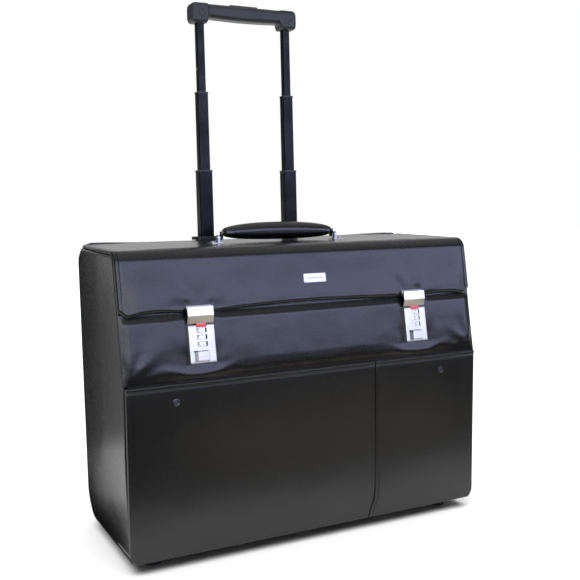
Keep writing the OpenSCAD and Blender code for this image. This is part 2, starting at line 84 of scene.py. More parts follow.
SLANT = math.radians(10.474)  # slope of the upper front
LEAN = math.radians(2)  # backward lean of the rear wall and the tubes
REAR_CORNER = 42  # radius of the rear bottom corner, seen from the side
REAR_ROUND = 18  # radius of the upright rear edges
BASE_ROUND = 13  # radius of the lower side edges
LID_T = 4  # thickness of the lid
FOLD_R = 15  # outer radius of the lid's fold
GAP = 0.4  # running gap under the lid
LOCK_X = (case_box("right_lock_case")[0].x + case_box("right_lock_case")[1].x) / 2
LOCK_Z = 237.3  # height of the middle of a lock, up the slant
SEAM_X = case_box("wide_pocket_panel")[1].x + 0.6
FOLD_Z = LID_TOP - FOLD_R
FOLD_Y = ((FOLD_Z - POCKET_TOP) * math.sin(SLANT) + FOLD_R - LID_T - GAP) / math.cos(SLANT)
REAR_FOOT = case_box("rear_panel")[1].y - SIDE_H * math.tan(LEAN) + 5 * math.tan(LEAN)


def clamp(value, low=0.0, high=1.0):
    return max(low, min(high, value))


def ease(a, b, x):
    """Rises smoothly from 0 at a to 1 at b."""
    t = clamp((x - a) / (b - a))
    return t * t * (3 - 2 * t)


def hump(x, middle, width):
    """A soft hump, 1 at its middle."""
    return math.exp(-(((x - middle) / width) ** 2))


def edge_drop(e, r):
    """How far a face has rolled down at a distance e from its edge, with radius r."""
    if e >= r:
        return 0.0
    e = max(e, 0.0)
    return r - math.sqrt(max(r * r - (r - e) ** 2, 0.0))


def slant_point(x, z, out=0.0):
    """A point at height z on the slanted front, and `out` millimetres in front of it."""
    return Vector(
        (x, (z - POCKET_TOP) * math.tan(SLANT) - out * math.cos(SLANT), z + out * math.sin(SLANT))
    )


SLANT_UP = Vector((0, math.sin(SLANT), math.cos(SLANT)))
SLANT_OUT = Vector((0, -math.cos(SLANT), math.sin(SLANT)))
BASE_D = 191  # depth of the case along its base
TUBE_Y = BASE_D - 15.7  # middle of the pull handle's tubes at the base
TUBE_X = 62.0  # distance from the middle of the case to each tube


def tube_point(x, y, z):
    """A point in the pull handle's own frame, which leans back with the tubes."""
    return Vector(
        (x, TUBE_Y + y * math.cos(LEAN) + z * math.sin(LEAN), z * math.cos(LEAN) - y * math.sin(LEAN))
    )


# ---------------------------------------------------------------------------
# Meshes
# ---------------------------------------------------------------------------


def spread(length, edge=(), step=5.0):
    """Places from 0 to length: the edge distances from both ends, and even steps between."""
    edge = [e for e in edge if e < length / 2]
    first = edge[-1] if edge else 0.0
    count = max(1, round((length - 2 * first) / step))
    middle = [first + (length - 2 * first) * i / count for i in range(count + 1)]
    inner = [m for m in middle if first + 1e-6 < m < length - first - 1e-6]
    if not edge:
        return middle
    return edge + inner + [length - e for e in reversed(edge)]


def grid_faces(rows, columns, wrap=False, start=0):
    """Quads over a grid of points that is stored row by row."""
    faces = []
    for i in range(rows - 1):
        for j in range(columns if wrap else columns - 1):
            k = (j + 1) % columns
            a, b = start + i * columns, start + (i + 1) * columns
            faces.append((a + j, a + k, b + k, b + j))
    return faces


def slab_mesh(rows, columns, points):
    """A closed slab: points(row, column) gives its outer and its inner point at each place."""
    pairs = [points(row, column) for row in rows for column in columns]
    verts = [pair[0] for pair in pairs] + [pair[1] for pair in pairs]
    high, wide = len(rows), len(columns)
    n = high * wide
    faces = grid_faces(high, wide)
    faces += [tuple(reversed(f)) for f in grid_faces(high, wide, start=n)]
    rim = [j for j in range(wide)]
    rim += [i * wide + wide - 1 for i in range(1, high)]
    rim += [(high - 1) * wide + j for j in range(wide - 2, -1, -1)]
    rim += [i * wide for i in range(high - 2, 0, -1)]
    for a, b in zip(rim, rim[1:] + rim[:1]):
        faces.append((b, a, n + a, n + b))
    return verts, faces


def capped_faces(rows, columns, start=0):
    """Faces of rings of points stored one after another, with a flat face at each end."""
    faces = grid_faces(rows, columns, wrap=True, start=start)
    faces.append(tuple(start + k for k in reversed(range(columns))))
    faces.append(tuple(start + (rows - 1) * columns + k for k in range(columns)))
    return faces


def tube_mesh(path, radius, sides):
    """A round cord swept along points, with flat ends."""
    verts = []
    normal = None
    for i, p in enumerate(path):
        before = path[i - 1] if i else p
        after = path[i + 1] if i + 1 < len(path) else p
        along = (after - before).normalized()
        if normal is None:
            normal = along.orthogonal().normalized()
        normal = (normal - along * normal.dot(along)).normalized()
        side = along.cross(normal)
        for k in range(sides):
            a = 2 * math.pi * k / sides
            verts.append(p + (normal * math.cos(a) + side * math.sin(a)) * radius)
    return verts, capped_faces(len(path), sides)


def stitches_mesh(places, length, radius):
    """A row of short threads. Each place is a point, the way it runs and the way it faces."""
    verts, faces = [], []
    for point, along, up in places:
        along = along.normalized()
        side = up.cross(along).normalized()
        up = along.cross(side)
        start = len(verts)
        for t, swell in ((-0.5, 0.45), (-0.28, 0.95), (0.0, 1.05), (0.28, 0.95), (0.5, 0.45)):
            middle = point + along * (length * t)
            for k in range(6):
                a = math.pi * k / 3
                verts.append(middle + (side * math.cos(a) + up * math.sin(a)) * radius * swell)
        faces += capped_faces(5, 6, start)
    return verts, faces


def turned_mesh(profile, middle, axis, sides=32):
    """A turned piece: profile is (radius, height) pairs about an axis through `middle`."""
    axis = Vector(axis).normalized()
    a = axis.orthogonal().normalized()
    b = axis.cross(a)
    verts = []
    for r, h in profile:
        for k in range(sides):
            t = 2 * math.pi * k / sides
            verts.append(Vector(middle) + axis * h + (a * math.cos(t) + b * math.sin(t)) * r)
    faces = grid_faces(len(profile), sides, wrap=True)
    if profile[0][0] > 1e-6:
        faces.append(tuple(reversed(range(sides))))
    if profile[-1][0] > 1e-6:
        faces.append(tuple((len(profile) - 1) * sides + k for k in range(sides)))
    return verts, faces


def join_meshes(parts):
    """Several (verts, faces) as one."""
    verts, faces = [], []
    for v, f in parts:
        start = len(verts)
        verts += v
        faces += [tuple(i + start for i in face) for face in f]
    return verts, faces


def make_piece(name, mesh_data, material, body, replaces=(), sharp=38):
    """Makes a mesh object from points in the case's frame and fixes it to its CAD body."""
    verts, faces = mesh_data
    mesh = bpy.data.meshes.new(name)
    mesh.from_pydata([to_row(v) for v in verts], [], faces)
    bm = bmesh.new()
    bm.from_mesh(mesh)
    bmesh.ops.remove_doubles(bm, verts=bm.verts, dist=1e-6)
    bmesh.ops.recalc_face_normals(bm, faces=bm.faces)
    bm.to_mesh(mesh)
    bm.free()
    mesh.shade_smooth()
    mesh.set_sharp_from_angle(angle=math.radians(sharp))
    obj = bpy.data.objects.new(name, mesh)
    bpy.context.scene.collection.objects.link(obj)
    mesh.materials.append(material)
    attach(obj, body)
    if replaces:
        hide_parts(*replaces)
    return obj


def bake_modifiers(obj):
    """Replaces a piece's mesh by what its modifiers make of it."""
    graph = bpy.context.evaluated_depsgraph_get()
    mesh = bpy.data.meshes.new_from_object(obj.evaluated_get(graph))
    obj.modifiers.clear()
    old, obj.data = obj.data, mesh
    bpy.data.meshes.remove(old)
    mesh.shade_smooth()
    mesh.set_sharp_from_angle(angle=math.radians(38))


def cut_away(obj, boxes):
    """Cuts boxes of the case's frame, each given by two corners, out of a piece."""
    parts = []
    for low, high in boxes:
        verts = [
            Vector((x, y, z))
            for z in (low[2], high[2])
            for y in (low[1], high[1])
            for x in (low[0], high[0])
        ]
        faces = [(0, 2, 3, 1), (4, 5, 7, 6), (0, 1, 5, 4), (2, 6, 7, 3), (0, 4, 6, 2), (1, 3, 7, 5)]
        parts.append((verts, faces))
    verts, faces = join_meshes(parts)
    mesh = bpy.data.meshes.new("cutter")
    mesh.from_pydata([to_row(v) for v in verts], [], faces)
    cutter = bpy.data.objects.new("cutter", mesh)
    bpy.context.scene.collection.objects.link(cutter)
    change = obj.modifiers.new("cut", "BOOLEAN")
    change.operation = "DIFFERENCE"
    change.solver = "EXACT"
    change.object = cutter
    before = len(obj.data.polygons)
    bake_modifiers(obj)
    if not before * 0.5 < len(obj.data.polygons) < before * 2:
        raise RuntimeError(f"cutting {obj.name} took too much away")
    bpy.data.objects.remove(cutter)
    bpy.data.meshes.remove(mesh)


# ---------------------------------------------------------------------------
# Materials
# ---------------------------------------------------------------------------


def linear(code):
    """An sRGB hex colour as linear red, green and blue."""
    values = [int(code[i : i + 2], 16) / 255 for i in (1, 3, 5)]
    return [v / 12.92 if v <= 0.04045 else ((v + 0.055) / 1.055) ** 2.4 for v in values]


def add(tree, kind, inputs=None, stops=(), **settings):
    """Adds a node with its settings. An input is a value, or a (node, output) to link.

    The stops of a colour ramp are pairs of a place and a hex colour."""
    node = tree.nodes.new(kind)
    for name, value in settings.items():
        setattr(node, name, value)
    for name, value in (inputs or {}).items():
        socket = node.inputs[name]
        if isinstance(value, tuple) and isinstance(value[0], bpy.types.Node):
            tree.links.new(value[0].outputs[value[1]], socket)
        else:
            socket.default_value = value
    for i, (place, colour) in enumerate(stops):
        node.color_ramp.elements[i].position = place
        node.color_ramp.elements[i].color = (*linear(colour), 1)
    return node


def new_material(name):
    """An empty node material and its tree."""
    material = bpy.data.materials.new(name)
    material.use_nodes = True
    material.node_tree.nodes.clear()
    return material, material.node_tree


def finish_material(tree, **inputs):
    """Adds the Principled shader with these inputs, and the output node."""
    shader = add(tree, "ShaderNodeBsdfPrincipled", {k.replace("_", " "): v for k, v in inputs.items()})
    add(tree, "ShaderNodeOutputMaterial", {"Surface": (shader, "BSDF")})


def smooth_leather(name, dark, light, rough, grain_mm, grain_depth, coat=0.0):
    """Finished cowhide: dyed through, pressed smooth and sealed, so it shines softly.

    Fine pores and a shallow pebble break the shine up close, and the hide's slow
    unevenness moves it over hands' widths."""
    material, tree = new_material(name)
    place = add(tree, "ShaderNodeTexCoord")
    slow = add(tree, "ShaderNodeTexNoise", {"Vector": (place, "Object"), "Scale": 1 / 0.045, "Detail": 3.0})
    colour = add(tree, "ShaderNodeValToRGB", {"Fac": (slow, "Fac")}, stops=((0.3, dark), (0.7, light)))
    fine = add(
        tree,
        "ShaderNodeTexNoise",
        {"Vector": (place, "Object"), "Scale": 1 / (0.6 * grain_mm * MM), "Detail": 2.0},
    )
    shine = add(
        tree,
        "ShaderNodeMapRange",
        {
            "Value": (fine, "Fac"),
            "From Min": 0.3,
            "From Max": 0.7,
            "To Min": rough - 0.04,
            "To Max": rough + 0.05,
        },
    )
    pebble = add(
        tree,
        "ShaderNodeTexVoronoi",
        {"Vector": (place, "Object"), "Scale": 1 / (grain_mm * MM)},
        feature="DISTANCE_TO_EDGE",
    )
    creased = add(
        tree,
        "ShaderNodeMapRange",
        {"Value": (pebble, "Distance"), "From Min": 0.0, "From Max": 0.22},
        interpolation_type="SMOOTHSTEP",
    )
    uneven = add(
        tree,
        "ShaderNodeTexNoise",
        {"Vector": (place, "Object"), "Scale": 1 / 0.016, "Detail": 2.0},
    )
    low_bump = add(
        tree,
        "ShaderNodeBump",
        {"Height": (uneven, "Fac"), "Strength": 0.25, "Distance": 0.6 * MM},
    )
    bump = add(
        tree,
        "ShaderNodeBump",
        {
            "Height": (creased, "Result"),
            "Strength": grain_depth,
            "Distance": 0.08 * MM,
            "Normal": (low_bump, "Normal"),
        },
    )
    finish_material(
        tree,
        Base_Color=(colour, "Color"),
        Roughness=(shine, "Result"),
        Normal=(bump, "Normal"),
        IOR=1.5,
        Coat_Weight=coat,
        Coat_Roughness=0.18,
    )
    return material


def drawn_metal(name, dark, light, rough, grain_mm, stretch, depth):
    """Metal with a directional finish: the lines left by brushing or by the drawing die."""
    material, tree = new_material(name)
    place = add(tree, "ShaderNodeTexCoord")
    scale = [1 / (grain_mm * MM * s) for s in stretch]
    mapped = add(tree, "ShaderNodeMapping", {"Vector": (place, "Object"), "Scale": scale})
    lines = add(tree, "ShaderNodeTexNoise", {"Vector": (mapped, "Vector"), "Scale": 1.0, "Detail": 2.0})
    cloud = add(tree, "ShaderNodeTexNoise", {"Vector": (place, "Object"), "Scale": 1 / 0.03, "Detail": 2.0})
    colour = add(tree, "ShaderNodeValToRGB", {"Fac": (cloud, "Fac")}, stops=((0.35, dark), (0.65, light)))
    shine = add(
        tree,
        "ShaderNodeMapRange",
        {
            "Value": (lines, "Fac"),
            "From Min": 0.3,
            "From Max": 0.7,
            "To Min": rough - 0.06,
            "To Max": rough + 0.06,
        },
    )
    bump = add(tree, "ShaderNodeBump", {"Height": (lines, "Fac"), "Strength": depth, "Distance": 0.03 * MM})
    finish_material(
        tree,
        Base_Color=(colour, "Color"),
        Roughness=(shine, "Result"),
        Normal=(bump, "Normal"),
        Metallic=1.0,
    )
    return material


def moulded(name, dark, light, rough, grit_mm, depth):
    """Plastic or rubber from a mould with an etched, fine-grit face."""
    material, tree = new_material(name)
    place = add(tree, "ShaderNodeTexCoord")
    grit = add(
        tree,
        "ShaderNodeTexNoise",
        {"Vector": (place, "Object"), "Scale": 1 / (grit_mm * MM), "Detail": 3.0},
    )
    cloud = add(
        tree,
        "ShaderNodeTexNoise",
        {"Vector": (place, "Object"), "Scale": 1 / 0.025, "Detail": 2.0},
    )
    colour = add(tree, "ShaderNodeValToRGB", {"Fac": (cloud, "Fac")}, stops=((0.35, dark), (0.65, light)))
    shine = add(
        tree,
        "ShaderNodeMapRange",
        {
            "Value": (cloud, "Fac"),
            "From Min": 0.3,
            "From Max": 0.7,
            "To Min": rough - 0.05,
            "To Max": rough + 0.05,
        },
    )
    bump = add(tree, "ShaderNodeBump", {"Height": (grit, "Fac"), "Strength": depth, "Distance": 0.06 * MM})
    finish_material(
        tree,
        Base_Color=(colour, "Color"),
        Roughness=(shine, "Result"),
        Normal=(bump, "Normal"),
        IOR=1.5,
    )
    return material


def woven_lining(name, dark, light):
    """Plain-weave nylon lining: over-and-under threads, drawn coarser than life to show."""
    material, tree = new_material(name)
    place = add(tree, "ShaderNodeTexCoord")
    turned = add(
        tree,
        "ShaderNodeMapping",
        {"Vector": (place, "Object"), "Rotation": (0.0, math.radians(90), 0.0)},
    )
    waves = [
        add(
            tree,
            "ShaderNodeTexWave",
            {"Vector": source, "Scale": 1 / (1.4 * MM) / 6.2, "Distortion": 0.4},
            wave_type="BANDS",
            bands_direction="X",
        )
        for source in ((place, "Object"), (turned, "Vector"))
    ]
    weave = add(tree, "ShaderNodeMath", {0: (waves[0], "Fac"), 1: (waves[1], "Fac")}, operation="MULTIPLY")
    cloud = add(tree, "ShaderNodeTexNoise", {"Vector": (place, "Object"), "Scale": 1 / 0.02, "Detail": 2.0})
    colour = add(tree, "ShaderNodeValToRGB", {"Fac": (cloud, "Fac")}, stops=((0.3, dark), (0.7, light)))
    bump = add(tree, "ShaderNodeBump", {"Height": (weave, "Value"), "Strength": 0.5, "Distance": 0.2 * MM})
    finish_material(
        tree,
        Base_Color=(colour, "Color"),
        Roughness=0.75,
        Normal=(bump, "Normal"),
        Sheen_Weight=0.3,
    )
    return material


def make_materials():
    """Every finish on the case, by name."""
    return {
        # Sealed box-calf leather over board: deep black, soft shine, hardly any grain.
        "leather": smooth_leather("black_sealed_leather", "#0e0e10", "#131316", 0.25, 1.1, 0.10),
        # The pockets' leather is pressed with a finer, drier grain.
        "pocket": smooth_leather("black_pressed_leather", "#0e0e0e", "#131313", 0.30, 0.9, 0.20),
        # The handle's leather is worn glossier by hands.
        "handle": smooth_leather("black_handle_leather", "#0c0c0e", "#121214", 0.24, 0.9, 0.12, 0.2),
        # Waxed polyester thread: slightly raised and duller than the leather.
        "thread": moulded("waxed_black_thread", "#1c1c1f", "#26262a", 0.5, 0.4, 0.3),
        # Satin nickel over zinc: pale, softly brushed upright.
        "nickel": drawn_metal("satin_nickel_plate", "#c9c8c8", "#d8d7d6", 0.33, 0.5, (1, 1, 12), 0.15),
        # Bright nickel: the drums, which are turned and polished.
        "bright": drawn_metal("bright_nickel", "#c9cbd0", "#dcdde2", 0.2, 0.4, (8, 8, 1), 0.1),
        # Darkened nickel of the press studs.
        "dark_nickel": drawn_metal("dark_nickel", "#46474a", "#5c5d61", 0.28, 0.5, (1, 1, 1), 0.1),
        # Zinc-plated steel: hinge, pins, axles and inner plates.
        "steel": drawn_metal("zinc_plated_steel", "#8d9094", "#a4a7ab", 0.38, 0.6, (1, 6, 1), 0.2),
        # Anodised aluminium tube: blue-black, with the die's lines running along it.
        "anodised": drawn_metal(
            "blue_black_anodised_aluminium", "#1c1c1e", "#262628", 0.32, 0.35, (1, 1, 40), 0.2
        ),
        # Moulded ABS with an etched face: grip, bezels, collars and wheel housings.
        "plastic": moulded("black_etched_abs", "#1d1e21", "#25262a", 0.46, 0.35, 0.3),
        # Smooth black paint in the digits and slots; on the lock pins the black is painted shade, standing
        # for the dark inside the lock-pin holes.
        "print_and_hole_shade": moulded("black_print_and_painted_hole_shade", "#0a0a0b", "#101011", 0.6, 0.4, 0.1),
        # Red enamel of the lock's shutter.
        "red": moulded("red_enamel", "#c33a30", "#d2483c", 0.35, 0.8, 0.05),
        # Foot rubber: dull and dusty.
        "rubber": moulded("black_foot_rubber", "#151515", "#202020", 0.8, 0.5, 0.5),
        # Polyurethane tyre: dense, a little shiny where it has rolled.
        "tyre": moulded("black_polyurethane", "#181819", "#222224", 0.55, 0.5, 0.35),
        # Copper-washed screws.
        "screw": drawn_metal("copper_washed_steel", "#9a7468", "#b38a7c", 0.35, 0.5, (1, 1, 1), 0.1),
        "lining": woven_lining("charcoal_nylon_lining", "#25221f", "#302c28"),
    }


MATERIALS = {}


def material(name):
    """One of the finishes, made when first asked for."""
    if not MATERIALS:
        MATERIALS.update(make_materials())
    return MATERIALS[name]


# ---------------------------------------------------------------------------
# Settings
# ---------------------------------------------------------------------------


def measure(name, description, default, least, most):
    """A length that the user can change, in metres."""
    return FloatProperty(
        name=name, description=description, default=default, min=least, max=most, unit="LENGTH"
    )


def brightness(name, description, default, most=4):
    """A brightness that the user can change."""
    return FloatProperty(name=name, description=description, default=default, min=0, max=most)


def angle(name, description, degrees):
    """An angle that the user can change, given in degrees."""
    return FloatProperty(name=name, description=description, default=math.radians(degrees), subtype="ANGLE")


class LeatherSettings(bpy.types.PropertyGroup):
    """Soft shapes of the covers, in metres."""

    side_swell: measure(
        "Side swell", "How much narrower the case is at its rear corners than in front", 0.003, 0, 0.008
    )
    flap_swell: measure("Flap swell", "How far the flap stands out between the locks", 0.003, 0, 0.006)
    pad_swell: measure(
        "Front padding swell", "How far the padding round the locks stands out", 0.0036, 0.001, 0.006
    )
    piping: measure(
        "Piping radius", "Radius of the cord along the edges of the sides", 0.0015, 0.0005, 0.003
    )
    hem: measure("Hem width", "Width of the turned and stitched edges", 0.0045, 0.002, 0.008)


class StitchSettings(bpy.types.PropertyGroup):
    """The sewing thread."""

    pitch: measure("Stitch pitch", "Distance from one stitch to the next", 0.0036, 0.002, 0.006)
    thread: measure("Thread radius", "Radius of the thread", 0.00042, 0.0002, 0.0008)


class StageSettings(bpy.types.PropertyGroup):
    """Camera, floor and lights."""

    camera_place: FloatVectorProperty(
        name="Camera place",
        description="Where the camera stands, from the middle of the case's footprint",
        default=(-0.4906, -0.9912, 0.4178),
        size=3,
        subtype="XYZ",
        unit="LENGTH",
    )
    yaw: angle("Camera yaw", "How far the camera looks to the right of straight back", 27.17)
    pitch: angle("Camera pitch", "How far the camera looks down", 6.50)
    roll: angle("Camera roll", "How far the camera is turned about its own line of sight", -0.49)
    view_angle: angle("Field of view", "Horizontal angle that the camera takes in", 36.78)
    floor_size: measure("Floor size", "Width of the floor", 12.0, 2, 40)
    backdrop: brightness("Backdrop strength", "Brightness of the white backdrop behind the case", 0.78)
    room: brightness("Room strength", "Brightness of the room round the front of the case", 0.12)
    ceiling: brightness("Ceiling strength", "Brightness of the ceiling", 0.65)
    window: brightness("Window strength", "Brightness of the window in front of the case", 3.0, 10)
    sky: brightness("Sky strength", "Brightness of the soft light from above", 4.0, 10)


class CaseSettings(bpy.types.PropertyGroup):
    """All settings of the flight case."""

    leather: PointerProperty(type=LeatherSettings)
    stitch: PointerProperty(type=StitchSettings)
    stage: PointerProperty(type=StageSettings)


def settings():
    return bpy.context.scene.flight_case


# ---------------------------------------------------------------------------
# The body's outer form
# ---------------------------------------------------------------------------


def rear_face(z):
    return REAR_FOOT + z * math.tan(LEAN)


CORNER_Y = REAR_FOOT + REAR_CORNER * math.tan(LEAN) - REAR_CORNER


def front_face(z):
    """The front edge of the side, which slopes back above the pockets and rounds at the top."""
    r = FOLD_R - LID_T - GAP
    if z <= POCKET_TOP:
        return 0.0
    if z <= FOLD_Z + r * math.sin(SLANT):
        return (z - POCKET_TOP) * math.tan(SLANT)
    return FOLD_Y - math.sqrt(max(r * r - (z - FOLD_Z) ** 2, 0.0))


def wrap_outline():
    """The side's lower and rear outline: (y, z, outward y, outward z, edge radius)."""
    points = []
    for i in range(26):
        y = 2 + (CORNER_Y - 2) * i / 26
        points.append((y, 0.0, 0.0, -1.0, BASE_ROUND))
    for i in range(19):
        a = math.radians(-90 + (90 - 2) * i / 18)
        r = BASE_ROUND + (REAR_ROUND - BASE_ROUND) * ease(0, 18, i)
        points.append(
            (
                CORNER_Y + REAR_CORNER * math.cos(a),
                REAR_CORNER + REAR_CORNER * math.sin(a),
                math.cos(a),
                math.sin(a),
                r,
            )
        )
    top = SIDE_H - 5
    for i in range(1, 37):
        z = REAR_CORNER + (top - REAR_CORNER) * i / 36
        points.append((rear_face(z), z, math.cos(LEAN), -math.sin(LEAN), REAR_ROUND))
    return points


def soften(point):
    """Rounds the upper rear corners off in both directions."""
    drop = min(edge_drop(344 - point.z, 24), 12)
    share = ease(170, 186, point.y) * ease(HALF_W - 50, HALF_W - 14, abs(point.x))
    shift = Vector((math.copysign(0.45, point.x), 0.8, 0)) * drop * share
    return point - shift


SEAM_DROP = 1 - math.sqrt(0.5)  # where the covers meet, halfway round the rolled edge


def seam_line(side, lift=0.0):
    """The line where a side cover meets the cover of the base and the rear."""
    line = []
    for y, z, ny, nz, r in wrap_outline():
        drop = SEAM_DROP * r - lift * math.sqrt(0.5)
        x = HALF_W - drop - rear_fall(y - ny * drop, z - nz * drop)
        line.append(soften(Vector((side * x, y - ny * drop, z - nz * drop))))
    return line


def seam_y(z):
    """How far back the side cover reaches at a height."""
    line = seam_line(1)
    rear = [p for p in line if p.y >= CORNER_Y - 1]
    if z <= rear[0].z:
        return rear[0].y
    for a, b in zip(rear, rear[1:]):
        if a.z <= z <= b.z:
            t = (z - a.z) / (b.z - a.z)
            return a.y + (b.y - a.y) * t
    a, b = rear[-2], rear[-1]
    return a.y + (b.y - a.y) * (z - a.z) / (b.z - a.z)


def inset(y, z):
    """Distance inside the lower and rear outline, and the edge radius there."""
    if y > CORNER_Y and z < REAR_CORNER:
        dy, dz = y - CORNER_Y, REAR_CORNER - z
        t = math.atan2(dy, dz) / (math.pi / 2)
        r = BASE_ROUND + (REAR_ROUND - BASE_ROUND) * ease(0, 1, t)
        return REAR_CORNER - math.hypot(dy, dz), r
    rear = (rear_face(z) - y) * math.cos(LEAN)
    if z < rear:
        return z, BASE_ROUND + (REAR_ROUND - BASE_ROUND) * ease(-30, 30, z - rear)
    return rear, REAR_ROUND


def rear_fall(y, z):
    """How much narrower the case is at a place of the side than at its front."""
    e, _ = inset(y, z)
    swell = settings().leather.side_swell / MM
    shoulder, bend = 118.0, 14.0
    fall = clamp(shoulder - e, 0, bend) ** 2 / (2 * bend) + max(shoulder - bend - e, 0)
    fall *= 1 + 0.2 * clamp(1 - e / 100)
    return swell * fall / (1.2 * (shoulder - bend / 2))


def side_stand(y, z):
    """How far a side cover stands out from the middle of the case.

    It is flat in front, then from a soft shoulder it falls away to its rear edge."""
    e, r = inset(y, z)
    drop = edge_drop(e, r)
    front = edge_drop(y - front_face(z), 1.6)
    top = edge_drop(SIDE_H - z, 2.2)
    hide = 0.25 * noise.noise(Vector((y, z, 7.3)) / 55.0)
    return HALF_W - 0.3 - rear_fall(y, z) - drop - max(front, top) + hide * clamp(e / 30)


def side_cover(side, name, node):
    """The leather over one side board, from the front edge to the seam round the rear."""
    low_z = SEAM_DROP * BASE_ROUND
    rows = [low_z, 5, 6.5, 8, 10, 12, 14, 17, 20, 24, 28, 32, 37, 42, 48]
    z = 56.0
    while z < SIDE_H - 6:
        rows.append(z)
        z += 7.5
    rows += [SIDE_H - 4, SIDE_H - 2.5, SIDE_H - 1.6, SIDE_H - 0.8, SIDE_H - 0.25, SIDE_H]
    outer = []
    for z in rows:
        y0, y1 = front_face(z), seam_y(z)
        places = [y0 + e for e in (0, 0.25, 0.7, 1.3, 2.1, 3.2, 5)]
        inner_end = y1 - 24
        for i in range(1, 22):
            places.append(y0 + 5 + (inner_end - y0 - 5) * i / 21)
        places += [inner_end + 24 * i / 11 for i in range(1, 12)]
        outer.append([soften(Vector((side * side_stand(min(y, y1), z), y, z))) for y in places])
    verts = [p for row in outer for p in row]
    piece = make_piece(
        name,
        (verts, grid_faces(len(outer), len(outer[0]))),
        material("leather"),
        "case",
        replaces=[node],
    )
    thicken(piece, 3.2)


def grown(box, by):
    """A box made larger all round; its rear and underside go well past the case."""
    low, high = box
    return ((low.x - by, low.y - by, low.z - 6), (high.x + by, high.y + 20, high.z + by))


def open_up(piece, box):
    """Opens a single surface where a wheel housing comes through it."""
    low, high = (to_row(Vector(corner)) for corner in grown(box, 0.2))
    bm = bmesh.new()
    bm.from_mesh(piece.data)
    planes = [(low, (1, 0, 0)), (high, (1, 0, 0)), (low, (0, 1, 0)), (high, (0, 0, 1))]
    for place, way in planes:
        bmesh.ops.bisect_plane(
            bm, geom=bm.verts[:] + bm.edges[:] + bm.faces[:], plane_co=place, plane_no=way
        )
    inside = [f for f in bm.faces if all(a < c < b for a, c, b in zip(low, f.calc_center_median(), high))]
    bmesh.ops.delete(bm, geom=inside, context="FACES")
    bm.to_mesh(piece.data)
    bm.free()


def thicken(piece, amount):
    """Gives a single surface a thickness towards the inside of the case."""
    change = piece.modifiers.new("board", "SOLIDIFY")
    change.thickness = amount * MM
    change.offset = -1
    mesh = piece.data
    # the surface has to face outwards before it is thickened
    middle = Vector((0, 100, 170)) + ORIGIN
    face = mesh.polygons[len(mesh.polygons) // 2]
    if face.normal.dot(face.center - middle * MM) < 0:
        mesh.flip_normals()
    bake_modifiers(piece)


def wrap_cover():
    """The leather over the base, the rounded rear corner and the rear wall."""
    verts = []
    half_roll = [45, 52, 60, 68, 76, 84, 90]
    steps = 40
    for y, z, ny, nz, r in wrap_outline():
        across = []
        for a in half_roll:
            t = math.radians(a)
            across.append((-(HALF_W - r + r * math.cos(t)), r - r * math.sin(t)))
        flat = HALF_W - r
        for k in range(1, steps):
            across.append((-flat + 2 * flat * k / steps, 0.0))
        for a in reversed(half_roll):
            t = math.radians(a)
            across.append((HALF_W - r + r * math.cos(t), r - r * math.sin(t)))
        rear = ease(REAR_CORNER, 110, z) * ease(SIDE_H + 2, SIDE_H - 70, z)
        for x, e in across:
            crown = 1.6 * rear * (1 - (x / HALF_W) ** 2)
            crown += 0.3 * rear * noise.noise(Vector((x, z, 3.1)) / 60)
            place = Vector((x, y - ny * e + ny * crown, z - nz * e + nz * crown))
            # the roll over the edge starts from the side, which falls away behind
            run = ease(HALF_W - r - 1, HALF_W - SEAM_DROP * r, abs(x)) * rear_fall(y, z)
            verts.append(soften(place - Vector((math.copysign(run, x), 0, 0))))
    columns = 2 * len(half_roll) + steps - 1
    piece = make_piece(
        "rear_and_base_cover",
        (verts, grid_faces(len(verts) // columns, columns)),
        material("leather"),
        "case",
        replaces=["rear_panel", "base_board"],
    )
    open_up(piece, case_box("left_wheel_housing"))
    open_up(piece, case_box("right_wheel_housing"))
    thicken(piece, 3.0)


def edge_piping(side, name):
    """The corded edge between a side cover and the wrap, set half into the seam."""
    radius = settings().leather.piping / MM
    cord = tube_mesh(seam_line(side, lift=radius * 0.45), radius, sides=10)
    make_piece(name, cord, material("leather"), "case")


def stitch_path(points, normals, pitch):
    """Even stitches along a line of points that lie on a surface."""
    run = [0.0]
    for a, b in zip(points, points[1:]):
        run.append(run[-1] + (b - a).length)
    places = []
    count = int(run[-1] / pitch)
    j = 0
    for i in range(count):
        at = pitch * (i + 0.5)
        while j < len(points) - 2 and run[j + 1] < at:
            j += 1
        t = (at - run[j]) / max(run[j + 1] - run[j], 1e-9)
        places.append(
            (
                points[j].lerp(points[j + 1], t),
                points[j + 1] - points[j],
                normals[j].lerp(normals[j + 1], t).normalized(),
            )
        )
    return places


def sewn_rows(name, rows, body):
    """Rows of stitches as one piece. Each row is a line of points and of outward ways."""
    sewing = settings().stitch
    pitch = sewing.pitch / MM
    places = []
    for points, normals in rows:
        places += stitch_path(points, normals, pitch)
    threads = stitches_mesh(places, pitch * 0.72, sewing.thread / MM)
    make_piece(name, threads, material("thread"), body)


# ---------------------------------------------------------------------------
# Front: board, pockets and padding
# ---------------------------------------------------------------------------


def front_board():
    """The leather-covered front board behind the pockets and the padding."""
    corner = case_box("front_panel")[1]
    half, foot, top, thick = corner.x, 4, corner.z, 4
    rows = [foot, 4.4, 5.2, 6.4, 60, 120, 190, 198, 206, 240, 280]
    rows += [top - 3, top - 1.2, top - 0.3, top]

    def points(z, u):
        x = -half + u
        drop = edge_drop(min(u, 2 * half - u, z - foot, top - z), 1.8)
        y = max(0.0, (z - POCKET_TOP) * math.tan(SLANT))
        return Vector((x, y + drop, z)), Vector((x, y + thick - drop * 0.6, z))

    board = make_piece(
        "front_board_cover",
        slab_mesh(rows, spread(2 * half, (0, 0.4, 1.2, 2.4), 20), points),
        material("leather"),
        "case",
        replaces=["front_panel"],
    )
    cut_away(board, lock_openings())


